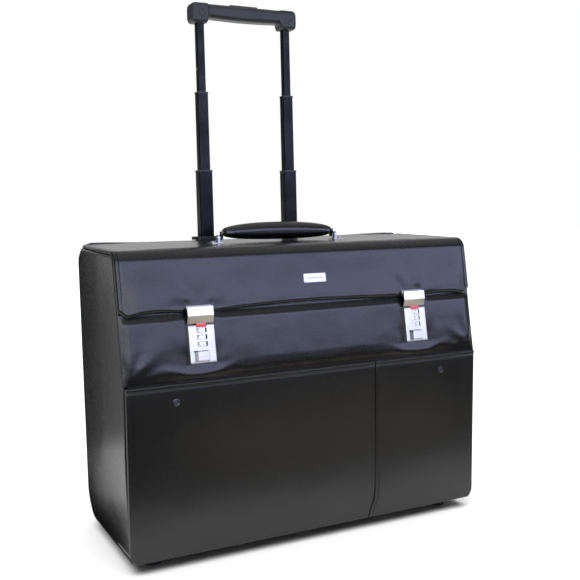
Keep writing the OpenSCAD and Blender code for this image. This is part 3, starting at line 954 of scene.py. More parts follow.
def lock_openings():
    """The holes behind the locks that the number drums turn in."""
    return [((s * LOCK_X - 9.8, -8, 232.5), (s * LOCK_X + 9.8, 20, 257.0)) for s in (-1, 1)]


def seam_curve(z):
    """Where the seam between the pockets runs: upright, and curving to the left low down."""
    return SEAM_X - 9.5 * ease(42, 0, z) ** 1.6


def pocket_cover(name, node, left, right):
    """One front pocket: a leather panel with a turned hem along its top."""
    low, high = case_box(node)
    hem = settings().leather.hem / MM
    base, top = low.z, high.z
    thick = high.y - low.y
    rows = spread(top - base, (0, 0.25, 0.7, 1.4, 2.4), 6)
    rows += [top - base - e for e in (hem + 1.6, hem + 0.9, hem + 0.4, hem, hem - 0.6)]
    rows = sorted(set(round(r, 3) for r in rows))

    def points(r, c):
        z = base + r
        x0, x1 = left(z), right(z)
        # crowd the columns towards both edges
        s = c - math.sin(2 * math.pi * c) / (2 * math.pi) * 0.85
        x = x0 + (x1 - x0) * s
        side = min(x - x0, x1 - x)
        e = min(side, r)
        from_top = top - z
        drop = max(edge_drop(e, 2.0), edge_drop(from_top, 1.4))
        roll = 0.7 * (1 - ease(hem - 1.2, hem + 0.8, from_top))
        groove = 0.35 * hump(from_top, hem + 0.9, 0.7)
        groove += 0.3 * hump(side, 5.0, 0.8)
        crown = 0.9 * ease(0, 60, side) * ease(0, 70, r) * ease(-10, 50, from_top)
        hide = 0.22 * noise.noise(Vector((x, z, 1.7)) / 34.0) * ease(0, 14, e)
        out = thick - drop + roll - groove + crown * 0.9 + hide
        return Vector((x, high.y - max(out, 0.3), z)), Vector((x, high.y, z))

    make_piece(
        name,
        slab_mesh(rows, spread(1.0, (), 1 / 56), points),
        material("pocket"),
        "case",
        replaces=[node],
    )


def pocket_corner(z, low):
    """How far a pocket's outer edge has run in at its rounded bottom corner."""
    return edge_drop(z - low, BASE_ROUND)


def pocket_stitching():
    """Stitches under the hems and beside the seam."""
    low, high = case_box("wide_pocket_panel")
    face = low.y - 0.1
    z = high.z - settings().leather.hem / MM - 0.9
    lines = []
    for x0, x1 in ((-HALF_W + 6, SEAM_X - 4), (SEAM_X + 4, HALF_W - 6)):
        lines.append([Vector((x0 + (x1 - x0) * i / 40, face - 0.35, z)) for i in range(41)])
    heights = [3 + (high.z - 12) * i / 48 for i in range(49)]
    lines.append([Vector((seam_curve(h) + 5.4, face - 0.5, h)) for h in heights])
    sewn_rows("pocket_stitches", [(line, [Vector((0, -1, 0))] * len(line)) for line in lines], "case")


def press_studs():
    """Press studs on the pockets: a rolled ring, a valley and a domed cap with a dimple."""
    low, high = case_box("pocket_snaps")
    x, z = high.x - 4.2, (low.z + high.z) / 2
    ring = [(4.3, -0.3), (4.45, 0.3), (4.2, 0.85), (3.7, 1.05), (3.3, 0.8), (3.0, 0.55)]
    cap = [(2.8, 0.8), (2.5, 1.35), (1.9, 1.7), (1.2, 1.72), (0.75, 1.5), (0.6, 1.15), (0.0, 1.1)]
    parts = [turned_mesh(ring + cap, (s * x, high.y - 1.0, z), (0, -1, 0)) for s in (-1, 1)]
    make_piece(
        "press_studs",
        join_meshes(parts),
        material("dark_nickel"),
        "case",
        replaces=["pocket_snaps"],
    )


def pad_stand(x, z):
    """How far the padding stands in front of the slanted front at a place."""
    swell = settings().leather.pad_swell / MM
    low, high = POCKET_TOP + 1.0, 270.0
    side = HALF_W - 1.4 - abs(x)
    from_lock_x = abs(abs(x) - LOCK_X) - 16.0
    from_lock_z = max(215.0 - z, 0.0)
    lock = math.hypot(max(from_lock_x, 0.0), from_lock_z)
    # near the locks the leather runs flat down to the pockets; elsewhere it swells
    near = hump(abs(x), LOCK_X + 4, 34)
    up = ease(low, low + 20 - 15 * near, z) * ease(high + 3, high - 7, z)
    across = ease(0, 9, side)
    dent = 1 - 0.5 * near * ease(236, 214, z) - 0.4 * math.exp(-((lock / 12.0) ** 2))
    out = 0.5 + (swell - 0.5) * up * across * dent
    # leather drawn in round the locks and at the lower corners folds a little
    for lx in (-LOCK_X, LOCK_X):
        dx, dz = x - lx, z - 214.0
        r = math.hypot(dx, dz)
        a = math.atan2(dz, dx)
        out += 0.2 * math.sin(7 * a + 1.1 * lx) * hump(r, 26, 11) * up
    for cx in (-HALF_W + 8, HALF_W - 8):
        dx, dz = x - cx, z - 199.0
        r = math.hypot(dx, dz)
        a = math.atan2(dz, abs(dx) + 1e-6)
        out += 0.5 * math.sin(9 * a) * hump(r, 26, 13) * up
    out += 0.35 * noise.noise(Vector((x, z, 4.4)) / 26.0) * up
    # rolls over the pockets' upper edge
    out += 0.9 * hump(z, POCKET_TOP + 9, 6) * across
    return max(out, 0.25)


PAD_H = 76.0  # height of the front padding


def front_pad():
    """The soft padded leather between the pockets and the flap, drawn in round the locks."""
    half = HALF_W - 1.4
    rows = [0, 0.3, 0.8, 1.6, 2.6] + [2.6 + 66.0 * i / 33 for i in range(1, 34)]
    rows += [70.6, 72.6, 74.4, 75.2, PAD_H]

    def points(r, u):
        x, z = -half + u, POCKET_TOP + 0.6 + r
        drop = edge_drop(min(u, 2 * half - u, r, PAD_H - r), 1.6)
        stand = max(pad_stand(x, z) - drop * 0.8, 0.12)
        stand = min(stand, 0.3) if r > PAD_H - 2 else stand
        return slant_point(x, z, stand), slant_point(x, z, 0.02)

    pad = make_piece(
        "front_padding_cover",
        slab_mesh(rows, spread(2 * half, (0, 0.4, 1.0, 2.0), 2.6), points),
        material("leather"),
        "case",
        replaces=["front_padding"],
    )
    cut_away(pad, lock_openings())


# ---------------------------------------------------------------------------
# Lid
# ---------------------------------------------------------------------------

LID_HALF = HALF_W - 1.0
TOP_RUN = LID_REAR - FOLD_Y
FOLD_SWEEP = math.pi / 2 - SLANT
INNER_R = FOLD_R - LID_T
FLAP_TOP = FOLD_Z + INNER_R * math.sin(SLANT)
FLAP_CORNER = 9.5  # how far the flap's lower corners are cut off


def flap_edge(x):
    """Height of the flap's lower edge: pulled up by the locks, and cut off at its corners."""
    a = abs(x)
    if a < LOCK_X:
        lift = 4.4 * (1 - (a / (LOCK_X - 8)) ** 2) if a < LOCK_X - 8 else 0.0
        z = FLAP_END - 0.8 + lift
    else:
        t = (a - LOCK_X - 8) / (HALF_W - LOCK_X - 12)
        z = FLAP_END - 0.8 + (3.2 * 4 * t * (1 - t) if 0 < t < 1 else 0.0)
        z -= 2.0 * ease(0.7, 1.0, t)
    cut = a - (LID_HALF - FLAP_CORNER)
    if cut > 0:
        z += cut * 0.9 + 0.6 * (cut / FLAP_CORNER) ** 4
    return z


def lid_place(x, v):
    """A point on the lid's inner face and its outward way.

    v runs 0 to 1 along the top from the rear, 1 to 2 round the fold, 2 to 3 down the flap."""
    if v <= 1:
        # a little narrower towards the rear, like the body below it
        x *= 1 - 0.012 * ease(0.6, 0, v)
        return Vector((x, LID_REAR - TOP_RUN * v, LID_TOP - LID_T)), Vector((0, 0, 1))
    if v <= 2:
        a = math.pi / 2 + FOLD_SWEEP * (v - 1)
        way = Vector((0, math.cos(a), math.sin(a)))
        return Vector((x, FOLD_Y, FOLD_Z)) + way * INNER_R, way
    z = FLAP_TOP + (flap_edge(x) - FLAP_TOP) * (v - 2)
    start = Vector((x, FOLD_Y, FOLD_Z)) + SLANT_OUT * INNER_R
    return start - SLANT_UP * ((FLAP_TOP - z) / math.cos(SLANT)), SLANT_OUT


def lid_edge_distance(x, v):
    """Distance from the lid's edge, in millimetres."""
    side = LID_HALF - abs(x)
    if v <= 1:
        return min(side, TOP_RUN * v)
    if v <= 2:
        return side
    low = (FLAP_TOP - flap_edge(x)) * (3 - v) / math.cos(SLANT)
    if side < FLAP_CORNER:
        low *= 0.74
    return min(side, low)


def lid_stand(x, v):
    """How far the lid's outer face stands from its inner face."""
    swell = settings().leather.flap_swell / MM
    hem = settings().leather.hem / MM
    e = lid_edge_distance(x, v)
    side = LID_HALF - abs(x)
    out = LID_T - 0.5
    if v <= 1:
        t = TOP_RUN * (1 - v)
        out += ease(0, 60, side) * ease(0, 30, TOP_RUN * v) * 0.6
        out += 0.25 * noise.noise(Vector((x, t, 9.9)) / 42.0) * ease(0, 20, e)
    elif v > 2:
        w = v - 2
        low = (3 - v) * (FLAP_TOP - flap_edge(x))
        pull = hump(abs(x), LOCK_X, 30)
        belly = ease(-0.15, 0.85, w) - ease(-0.15, 0.85, 0) * (1 - w)
        out += swell * belly * (1 - pull) * ease(0, 26, side)
        # folds run out from each lock's bracket
        for lx in (-LOCK_X, LOCK_X):
            dx, dz = x - lx, low - 6.0
            r = math.hypot(dx, dz)
            a = math.atan2(dz, dx)
            out += 0.42 * math.sin(6 * a + 0.8 * lx) * hump(r, 27, 12) * ease(0, 5, e)
        out += 0.4 * noise.noise(Vector((x, low, 2.2)) / 30.0) * ease(0, 12, e)
        if hump(abs(x), LOCK_X, 17) > 0.4 and low < 14:
            out = min(out, LID_T - 0.5)
    # turned hem, with the groove that its stitches pull
    if v > 1 or side < hem + 3:
        # only the sides of the flap show it; the lower edge is rolled under
        sewn = 1.0 if e > side - 0.5 or v <= 2 else 0.0
        out += 0.35 * sewn * (1 - ease(hem - 1.0, hem, e))
        out -= 0.45 * sewn * hump(e, hem + 0.7, 0.75)
    round_edge = 3.2 if v > 2 and side > e + 0.5 else 2.2
    return max(out + 0.5 * ease(0, 2, e) - edge_drop(e, round_edge), 0.8)


def lid_cover():
    """The lid: one piece of leather over board, folded over the front as a flap."""
    hem = settings().leather.hem / MM
    near = (0, 0.2, 0.6, 1.2, 2.0, 3.0, hem - 0.5, hem, hem + 0.4, hem + 0.8, hem + 1.3, hem + 2.2)
    top = [t / TOP_RUN for t in (0, 0.3, 0.9, 1.8, 3)]
    top += [(3 + (TOP_RUN - 3) * i / 24) / TOP_RUN for i in range(1, 25)]
    fold = [1 + i / 12 for i in range(1, 13)]
    depth = FLAP_TOP - FLAP_END
    flap = [2 + i / 18 * (1 - 9 / depth) for i in range(1, 19)]
    low = (7.4, 6.4, 5.7, 5.3, 4.9, 4.5, 4.0, 3.0, 2.0, 1.2, 0.6, 0.2, 0)
    flap += [3 - e / depth for e in low]

    def points(v, u):
        x = -LID_HALF + u
        point, way = lid_place(x, v)
        tuck = 0.6 * (1 - ease(0, 1.5, lid_edge_distance(x, v)))
        return point + way * lid_stand(x, v), point + way * tuck

    make_piece(
        "lid_cover",
        slab_mesh(top + fold + flap, spread(2 * LID_HALF, (*near, FLAP_CORNER), 3.2), points),
        material("leather"),
        "lid",
        replaces=["lid_panel"],
    )


def lid_stitching():
    """Stitches along the hem at both sides of the lid, from the rear to the flap's corners."""
    hem = settings().leather.hem / MM + 0.7
    rows = []
    for side in (-1, 1):
        x = side * (LID_HALF - hem)
        points, ways = [], []
        for i in range(90):
            v = 0.06 + 2.66 * i / 89
            place, way = lid_place(x, v)
            points.append(place + way * (lid_stand(x, v) + 0.12))
            ways.append(way)
        rows.append((points, ways))
    sewn_rows("lid_stitches", rows, "lid")


def lid_lining_cover():
    """The padded cloth lining under the lid."""
    low, high = case_box("lid_lining")
    near = (0, 0.3, 0.9, 1.8, 3)

    def points(v, u):
        e = min(u, high.x - low.x - u, v, high.y - low.y - v)
        x, y = low.x + u, low.y + v
        puff = 0.9 * ease(0, 26, e) + 0.25 * noise.noise(Vector((x, y, 0.4)) / 30)
        channel = 0.7 * hump(e, 9, 1.0)
        z = low.z - puff * ease(0, 5, e) + channel + edge_drop(e, 1.2)
        return Vector((x, y, z)), Vector((x, y, high.z))

    make_piece(
        "lid_lining_cover",
        slab_mesh(spread(high.y - low.y, near, 8), spread(high.x - low.x, near, 12), points),
        material("lining"),
        "lid",
        replaces=["lid_lining"],
    )


def name_badge():
    """A blank nickel badge with a raised rim and a row of small raised lozenges."""
    low, high = case_box("name_plate")
    x0 = (low.x + high.x) / 2
    z0 = (low.z + high.z) / 2
    w, h = (high.x - low.x) / 2, (high.z - low.z) / 2 / math.cos(SLANT)
    v = 2 + (FLAP_TOP - z0) / (FLAP_TOP - flap_edge(x0))
    middle = slant_point(x0, z0, lid_stand(x0, v) + GAP)

    def at(a, b, c):
        return middle + Vector((a, 0, 0)) + SLANT_UP * b + SLANT_OUT * c

    corner = 1.3
    verts = []
    for shrink, lift in ((0, -0.6), (0, 0.75), (0.25, 1.0), (0.7, 1.0), (0.95, 0.75)):
        r = corner - shrink * 0.6
        for sx, sz, a0 in ((1, 1, 0), (-1, 1, 90), (-1, -1, 180), (1, -1, 270)):
            for k in range(5):
                t = math.radians(a0 + 22.5 * k)
                x = sx * (w - corner - shrink * 0.4) + r * math.cos(t)
                z = sz * (h - corner - shrink * 0.4) + r * math.sin(t)
                verts.append(at(x, z, lift))
    make_piece(
        "name_badge",
        (verts, capped_faces(5, 20)),
        material("nickel"),
        "lid",
        replaces=["name_plate"],
    )
    marks = []
    r, foot = 1.15, 0.72
    for i in range(7):
        x = -9 + 3 * i
        ring = [at(x + r, 0, foot), at(x, r, foot), at(x - r, 0, foot), at(x, -r, foot)]
        faces = [(0, 1, 4), (1, 2, 4), (2, 3, 4), (3, 0, 4), (3, 2, 1, 0)]
        marks.append((ring + [at(x, 0, 1.05)], faces))
    lozenges = join_meshes(marks)
    make_piece(
        "name_badge_lozenges", lozenges, material("dark_nickel"), "lid", sharp=20
    )


# ---------------------------------------------------------------------------
# Rear rail and tube bezels
# ---------------------------------------------------------------------------


def rear_rail():
    """The padded leather rail behind the lid, which turns down over the rear wall."""
    front = case_box("rear_top_rail")[0].y
    half = HALF_W - 3.2
    rear = rear_face(LID_TOP)
    under = LID_TOP - 5.5
    r = 9.0  # radius of the roll down over the rear wall

    def points(k, u):
        x = -half + u
        e = min(u, 2 * half - u)
        # plan corner: the rear edge runs in towards the ends
        back = rear - edge_drop(e, REAR_ROUND) * 0.96
        rise = 1.6 * ease(90, 6, e) - 0.8 * ease(0, 1, 1 - (x / half) ** 2)
        top = LID_TOP + rise - edge_drop(e, 11.0)
        if k < 2:
            y, z = front + (0, 0.5)[k], top - (1.2, 0.3)[k]
            inner_y, inner_z = y + 0.3, under
        elif k < 6:
            y, z = front + 1.4 + (back - r - front - 1.4) * ((k - 2) / 4), top
            inner_y, inner_z = y, under
        else:
            a = math.radians(90 - 90 * (k - 6) / 6) if k < 12 else 0
            y = back - r + r * math.cos(a)
            z = top - r + r * math.sin(a) - (0 if k < 12 else (k - 11) * 1.0)
            inner_y, inner_z = min(y - 1.5, back - 3), min(z, under)
        place = Vector((x, y, z))
        shift = soften(place) - place
        return place + shift, Vector((x * 0.985, inner_y, min(inner_z, z - 1.5))) + shift

    near = (0, 0.3, 0.8, 1.6, 2.6, 4, 6, 8.5, 11, 16)
    make_piece(
        "rear_rail_cover",
        slab_mesh(range(15), spread(2 * half, near, 7), points),
        material("leather"),
        "case",
        replaces=["rear_top_rail"],
    )


# ---------------------------------------------------------------------------
# Locks
# ---------------------------------------------------------------------------


def lock_point(side, y, z):
    """A point by a lock: y stands behind the slanted front, z runs up it from the lock's middle."""
    return slant_point(side * LOCK_X, LOCK_Z) + SLANT_UP * z - SLANT_OUT * y


def red_shutters():
    """The red enamelled tabs that show above the number drums."""
    half, foot, top = 6.0, 18.3, 22.5
    heights = (foot, 18.5, 18.9, 20.5, 22.0, 22.3, top)
    parts = []
    for side in (-1, 1):

        def points(z, x):
            e = min(half - abs(x), z - foot, top - z)
            face = lock_point(side, -8.15 + edge_drop(e, 0.5), z)
            return face + Vector((x, 0, 0)), lock_point(side, -7.0, z) + Vector((x, 0, 0))

        parts.append(slab_mesh(heights, (-half, -5.8, -5.4, 0.0, 5.4, 5.8, half), points))
    make_piece("red_shutters", join_meshes(parts), material("red"), "case")


DIAL_PITCH = 7.6
DIAL_R = 8.8
DIAL_T = 4.6
DIAL_AXIS = -8 - 1.6 + DIAL_R  # behind the slanted front


def dial_drum(side, index, name):
    """A number drum: ten flats with a finger notch between each pair, and its ten numbers."""
    centre = lock_point(side, DIAL_AXIS, index * DIAL_PITCH)
    across = Vector((1, 0, 0))

    def way(a):
        return across * math.sin(a) + SLANT_OUT * math.cos(a)

    flat = math.radians(12.5)
    apothem = DIAL_R * math.cos(math.radians(18))
    corner = apothem / math.cos(flat)
    notch = [(math.radians(15), 0.93), (math.radians(18), 0.885), (math.radians(21), 0.93)]
    ring = []
    for k in range(10):
        a = math.radians(36 * k)
        ring += [(a - flat, corner), (a + flat, corner)]
        ring += [(a + turn, DIAL_R * share) for turn, share in notch]
    verts = []
    for h, s in ((-0.5, 0.94), (-0.44, 1.0), (0.44, 1.0), (0.5, 0.94)):
        verts += [centre + SLANT_UP * (DIAL_T * h) + way(a) * r * s for a, r in ring]
    count = len(ring)
    faces = grid_faces(4, count, wrap=True)
    # the bore for the axle
    start = len(verts)
    for h in (-0.5, 0.5):
        verts += [centre + SLANT_UP * (DIAL_T * h) + way(a) * 1.55 for a, _ in ring]
    faces += grid_faces(2, count, wrap=True, start=start)
    for k in range(count):
        n = (k + 1) % count
        faces.append((k, n, start + n, start + k))
        faces.append((3 * count + k, 3 * count + n, start + count + n, start + count + k))
    make_piece(
        name + "_drum", (verts, faces), material("bright"), name, replaces=[name], sharp=12
    )
    # numbers 0 to 9, one on each flat
    parts = []
    for k in range(10):
        out = way(math.radians(36 * k))
        right = SLANT_UP.cross(out) * -1
        place = centre + out * (apothem + 0.02)
        points, number_faces = number_mesh(str(k), 3.3)
        parts.append(([place + right * p.x + SLANT_UP * p.y + out * p.z for p in points], number_faces))
    make_piece(name + "_numbers", join_meshes(parts), material("print_and_hole_shade"), name, sharp=30)


NUMBER_SHAPES = {}


def number_mesh(text, height):
    """The mesh of one printed number, centred, about `height` millimetres tall."""
    if text in NUMBER_SHAPES:
        return NUMBER_SHAPES[text]
    curve = bpy.data.curves.new("number", "FONT")
    curve.body = text
    curve.size = height * 1.35
    curve.align_x = "CENTER"
    curve.align_y = "CENTER"
    curve.extrude = 0.06
    curve.resolution_u = 3
    obj = bpy.data.objects.new("number", curve)
    bpy.context.scene.collection.objects.link(obj)
    graph = bpy.context.evaluated_depsgraph_get()
    mesh = bpy.data.meshes.new_from_object(obj.evaluated_get(graph))
    verts = [v.co.copy() for v in mesh.vertices]
    faces = [tuple(p.vertices) for p in mesh.polygons]
    bpy.data.objects.remove(obj)
    bpy.data.curves.remove(curve)
    bpy.data.meshes.remove(mesh)
    NUMBER_SHAPES[text] = (verts, faces)
    return NUMBER_SHAPES[text]


# ---------------------------------------------------------------------------
# Carry handle
# ---------------------------------------------------------------------------


def handle_section(t):
    """Half height and half depth of the padded grip; t runs from -1 to 1 along it."""
    body = math.sqrt(max(1 - abs(t) ** 2.3, 0.0))
    return 3.2 + 7.8 * body, 5.0 + 6.2 * body ** 0.8


def handle_middle(t):
    """Height of the grip's middle: it arches a little."""
    low, high = case_box("handle_pad")
    return (low.z + high.z) / 2 + 0.4 - 1.2 * t * t - 0.6 * t


def handle_pad_cover():
    """The padded grip: two leathers sewn together along both sides over a stuffed core."""
    low, high = case_box("handle_pad")
    half = (high.x - low.x) / 2
    y0 = (low.y + high.y) / 2
    ts = [-1 + 2 * i / 46 for i in range(47)]
    ts = [math.sin(t * math.pi / 2) * 0.35 + t * 0.65 for t in ts]
    sides = 40
    roundness = 2.3  # 2 would be an ellipse
    verts = []
    for t in ts:
        h, d = handle_section(t)
        z0 = handle_middle(t)
        for k in range(sides):
            a = 2 * math.pi * k / sides
            c, s = math.cos(a), math.sin(a)
            y = d * math.copysign(abs(c) ** (2 / roundness), c)
            z = h * math.copysign(abs(s) ** (2 / roundness), s)
            # the sewn edge stands out as a ridge just below the middle of each side
            at_side = 1 if abs(c) > 0.5 else 0
            ridge = 0.9 * hump(z, -1.2, 1.1) * at_side
            valley = 0.5 * (hump(z, 1.6, 1.0) + hump(z, -4.0, 1.0)) * at_side
            y += math.copysign(ridge - valley, c)
            soft = 0.25 * noise.noise(Vector((t * 9, c * 2, s * 2)))
            verts.append(Vector((t * half, y0 + y, z0 + z * (1 + soft * 0.03))))
    pad = make_piece(
        "handle_pad_cover",
        (verts, capped_faces(len(ts), sides)),
        material("handle"),
        "carry_handle",
        replaces=["handle_pad"],
        sharp=60,
    )
    rows = []
    for s in (-1, 1):
        line = []
        for i in range(50):
            t = -0.93 + 1.86 * i / 49
            d = handle_section(t)[1]
            line.append(Vector((t * half, y0 + s * (d + 0.05), handle_middle(t) + 1.5)))
        rows.append((line, [Vector((0, s, 0.35)).normalized()] * 50))
    sewn_rows("handle_stitches", rows, "carry_handle")


def handle_ends():
    """Leather ears that close the grip and wrap the steel ends down to the pivots."""
    low, high = case_box("handle_pad")
    y0 = (low.y + high.y) / 2
    pivot = case_box("handle_core")[0].z + 3.0
    parts = []
    for s in (-1, 1):
        x_in = s * (high.x - 5)
        x_out = s * (high.x + 2.6)
        # middle of the strap, and half its depth
        path = [
            (x_in, handle_middle(s) + 1.5, 5.2),
            (x_in + s * 4, handle_middle(s) + 1.2, 5.4),
            (x_out - s * 1.0, handle_middle(s) - 0.6, 5.2),
            (x_out + s * 0.2, handle_middle(s) - 3.5, 4.8),
            (x_out + s * 0.3, pivot + 1.5, 4.6),
            (x_out + s * 0.2, pivot - 1.4, 4.2),
            (x_out - s * 0.3, pivot - 2.9, 3.0),
        ]

        def points(i, k):
            x, z, half_d = path[i]
            after = path[min(i + 1, len(path) - 1)]
            before = path[max(i - 1, 0)]
            along = Vector((after[0] - before[0], 0, after[1] - before[1])).normalized()
            way = Vector((-along.z, 0, along.x)) * (-s)
            y = -half_d + 2 * half_d * k / 8
            stand = 1.5 - edge_drop(half_d - abs(y), 1.3)
            place = Vector((x, y0 + y, z))
            return place + way * stand, place - way * stand * 0.5

        parts.append(slab_mesh(range(len(path)), range(9), points))
    make_piece(
        "handle_ears", join_meshes(parts), material("handle"), "carry_handle", sharp=50
    )


# ---------------------------------------------------------------------------
# Pull handle
# ---------------------------------------------------------------------------


GRIP_Z = 622.0  # height of the grip's lower edge, drawn out
GRIP_H = 25.5  # height of the grip


def grip_form(x):
    """Lower and upper height, half depth and edge radius of the grip at a place along it."""
    a = abs(x)
    end = case_box("grip_front_shell")[1].x - a
    bar = ease(54.5, 50.5, a)  # 0 in the end blocks, 1 in the bar between them
    under = GRIP_Z + (7.4 - 1.6 * math.cos(clamp(x / 54, -1, 1) * math.pi / 2)) * bar
    under += edge_drop(end, 5.0)
    over = GRIP_Z + GRIP_H - edge_drop(end, 6.0) - 0.5 * bar
    depth = 11.4 - 1.2 * bar - edge_drop(end, 5.0) * 0.9
    return under, over, depth, 4.6 + 1.0 * bar


def grip_shells():
    """The moulded grip: end blocks on the tubes and a hand-filling bar, in two half shells."""
    half = case_box("grip_front_shell")[1].x
    xs = [half - e for e in (0, 0.3, 0.9, 1.8, 3, 4.5, 6)]
    x = half - 6
    while x > 56:
        x -= 2.4
        xs.append(max(x, 56))
    xs += [55.2, 54.4, 53.6, 52.8, 52.0, 51.2, 50.2, 48.5, 45, 40, 34, 28, 22, 16, 8, 0]
    xs = sorted(set(xs))
    xs = [-x for x in reversed(xs) if x > 0] + xs
    for word, front in (("front", -1), ("rear", 1)):
        verts = []
        for x in xs:
            under, over, depth, r = grip_form(x)
            h = (over - under) / 2
            r = min(r, h * 0.95, depth * 0.9)
            loop = [(0.12, over - 0.35), (0.35, over)]
            loop += [((depth - r) * k / 2, over) for k in range(1, 3)]
            for k in range(1, 8):
                t = math.radians(90 - 90 * k / 7)
                loop.append((depth - r + r * math.cos(t), over - r + r * math.sin(t)))
            loop += [(depth, over - r - (2 * h - 2 * r) * k / 6) for k in range(1, 6)]
            for k in range(0, 8):
                t = math.radians(-90 * k / 7)
                loop.append((depth - r + r * math.cos(t), under + r + r * math.sin(t)))
            loop += [((depth - r) * k / 2 + 0.35 * (1 - k), under) for k in (1, 0)]
            loop.append((0.12, under + 0.35))
            verts += [tube_point(x, front * y, z) for y, z in loop]
        make_piece(
            f"grip_{word}_half",
            (verts, capped_faces(len(xs), len(loop))),
            material("plastic"),
            "stage_3",
            replaces=[f"grip_{word}_shell"],
            sharp=44,
        )


def lock_pins():
    """The spring pins that lock the stages, and the bumpers on the innermost tubes."""
    profile = [(2.5, -0.4), (2.5, 0.05), (2.2, 0.22), (1.6, 0.26), (1.5, 0.1), (0.8, 0.08), (0.0, 0.12)]
    # the locking pins face inwards, and the innermost tubes' bumpers outwards
    # the black of the pins on stages 1 and 2 is painted shade, standing for the dark inside the lock holes
    for body, half, z, facing, finish, slot in (
        ("stage_1", 9.3, 407.6, -1, "print_and_hole_shade", "black_plastic"),
        ("stage_2", 7.3, 510.0, -1, "print_and_hole_shade", "black_plastic"),
        ("stage_3", 5.3, 564.6, 1, "steel", "plain_steel"),
    ):
        parts = []
        for side in (-facing, facing):
            way = side * facing
            centre = tube_point(side * TUBE_X + way * half, 0, z)
            parts.append(turned_mesh(profile, centre, (way, 0, 0), 20))
        make_piece(body + "_lock_pins", join_meshes(parts), material(finish), body)


def screw_wells():
    """Dark wells round the grip's screws."""
    depth = grip_form(TUBE_X)[2]
    way = Vector((0, -math.cos(LEAN), math.sin(LEAN)))
    profile = [(4.0, -1.0), (4.0, 0.05), (3.7, 0.3), (3.3, 0.3), (3.1, 0.0), (3.05, -1.0)]
    parts = []
    for s in (-1, 1):
        centre = tube_point(s * TUBE_X, -depth - 0.05, GRIP_Z + 12)
        parts.append(turned_mesh(profile, centre, way, 28))
    make_piece("screw_wells", join_meshes(parts), material("plastic"), "stage_3")


# ---------------------------------------------------------------------------
# Inside
# ---------------------------------------------------------------------------


def inner_board(name, node, placed, corners):
    """A lined board with soft edges: `placed` turns (x, z, out) into a point."""
    x0, x1, z0, z1, thick = corners
    near = (0, 0.3, 0.8, 1.5)

    def points(v, u):
        e = min(u, x1 - x0 - u, v, z1 - z0 - v)
        drop = edge_drop(e, thick / 2)
        binding = 0.35 * (1 - ease(6, 7.5, e))
        return (
            placed(x0 + u, z0 + v, thick / 2 - drop + binding),
            placed(x0 + u, z0 + v, -thick / 2 + drop - binding),
        )

    return make_piece(
        name,
        slab_mesh(spread(z1 - z0, near, 22), spread(x1 - x0, near, 22), points),
        material("lining"),
        "case",
        replaces=[node],
    )


# ---------------------------------------------------------------------------
# Operators
# ---------------------------------------------------------------------------


class PieceOperator:
    """What every operator here shares."""

    bl_options = {"REGISTER", "UNDO"}


class FLIGHTCASE_OT_body(PieceOperator, bpy.types.Operator):
    """Cover the sides, the base and the rear wall with leather, and pipe their edges"""

    bl_idname = "flightcase.body"
    bl_label = "Body covers"

    def execute(self, context):
        side_cover(-1, "left_side_cover", "left_side_panel")
        side_cover(1, "right_side_cover", "right_side_panel")
        wrap_cover()
        edge_piping(-1, "left_piping")
        edge_piping(1, "right_piping")
        return {"FINISHED"}


class FLIGHTCASE_OT_pockets(PieceOperator, bpy.types.Operator):
    """Make the front board, the two pockets, their stitching and press studs"""

    bl_idname = "flightcase.pockets"
    bl_label = "Front pockets"

    def execute(self, context):
        low, _ = case_box("wide_pocket_panel")
        outside = HALF_W - 2
        front_board()
        pocket_cover(
            "wide_pocket",
            "wide_pocket_panel",
            lambda z: -outside + pocket_corner(z, low.z - 1),
            lambda z: seam_curve(z) - 0.25,
        )
        pocket_cover(
            "narrow_pocket",
            "narrow_pocket_panel",
            lambda z: seam_curve(z) + 0.25,
            lambda z: outside - pocket_corner(z, low.z - 1),
        )
        pocket_stitching()
        press_studs()
        return {"FINISHED"}


class FLIGHTCASE_OT_padding(PieceOperator, bpy.types.Operator):
    """Make the soft padded leather between the pockets and the flap"""

    bl_idname = "flightcase.padding"
    bl_label = "Front padding"

    def execute(self, context):
        front_pad()
        return {"FINISHED"}


class FLIGHTCASE_OT_lid(PieceOperator, bpy.types.Operator):
    """Make the lid with its folded flap, hem, stitching, lining and badge"""

    bl_idname = "flightcase.lid"
    bl_label = "Lid"

    def execute(self, context):
        lid_cover()
        lid_stitching()
        lid_lining_cover()
        name_badge()
        return {"FINISHED"}


class FLIGHTCASE_OT_rail(PieceOperator, bpy.types.Operator):
    """Make the padded rail behind the lid"""

    bl_idname = "flightcase.rail"
    bl_label = "Rear rail"

    def execute(self, context):
        rear_rail()
        return {"FINISHED"}


class FLIGHTCASE_OT_dials(PieceOperator, bpy.types.Operator):
    """Make the number drums of both locks"""

    bl_idname = "flightcase.dials"
    bl_label = "Number drums"

    def execute(self, context):
        red_shutters()
        for side, word in ((-1, "left"), (1, "right")):
            for i in (1, 2, 3):
                dial_drum(side, 3 - i, f"{word}_dial_{i}")
        return {"FINISHED"}


class FLIGHTCASE_OT_carry_handle(PieceOperator, bpy.types.Operator):
    """Make the padded carry handle with its sewn edges and leather ears"""

    bl_idname = "flightcase.carry_handle"
    bl_label = "Carry handle"

    def execute(self, context):
        handle_pad_cover()
        handle_ends()
        return {"FINISHED"}


class FLIGHTCASE_OT_pull_handle(PieceOperator, bpy.types.Operator):
    """Make the pull handle's grip, screw wells and locking pins"""

    bl_idname = "flightcase.pull_handle"
    bl_label = "Pull handle"

    def execute(self, context):
        grip_shells()
        screw_wells()
        lock_pins()
        return {"FINISHED"}


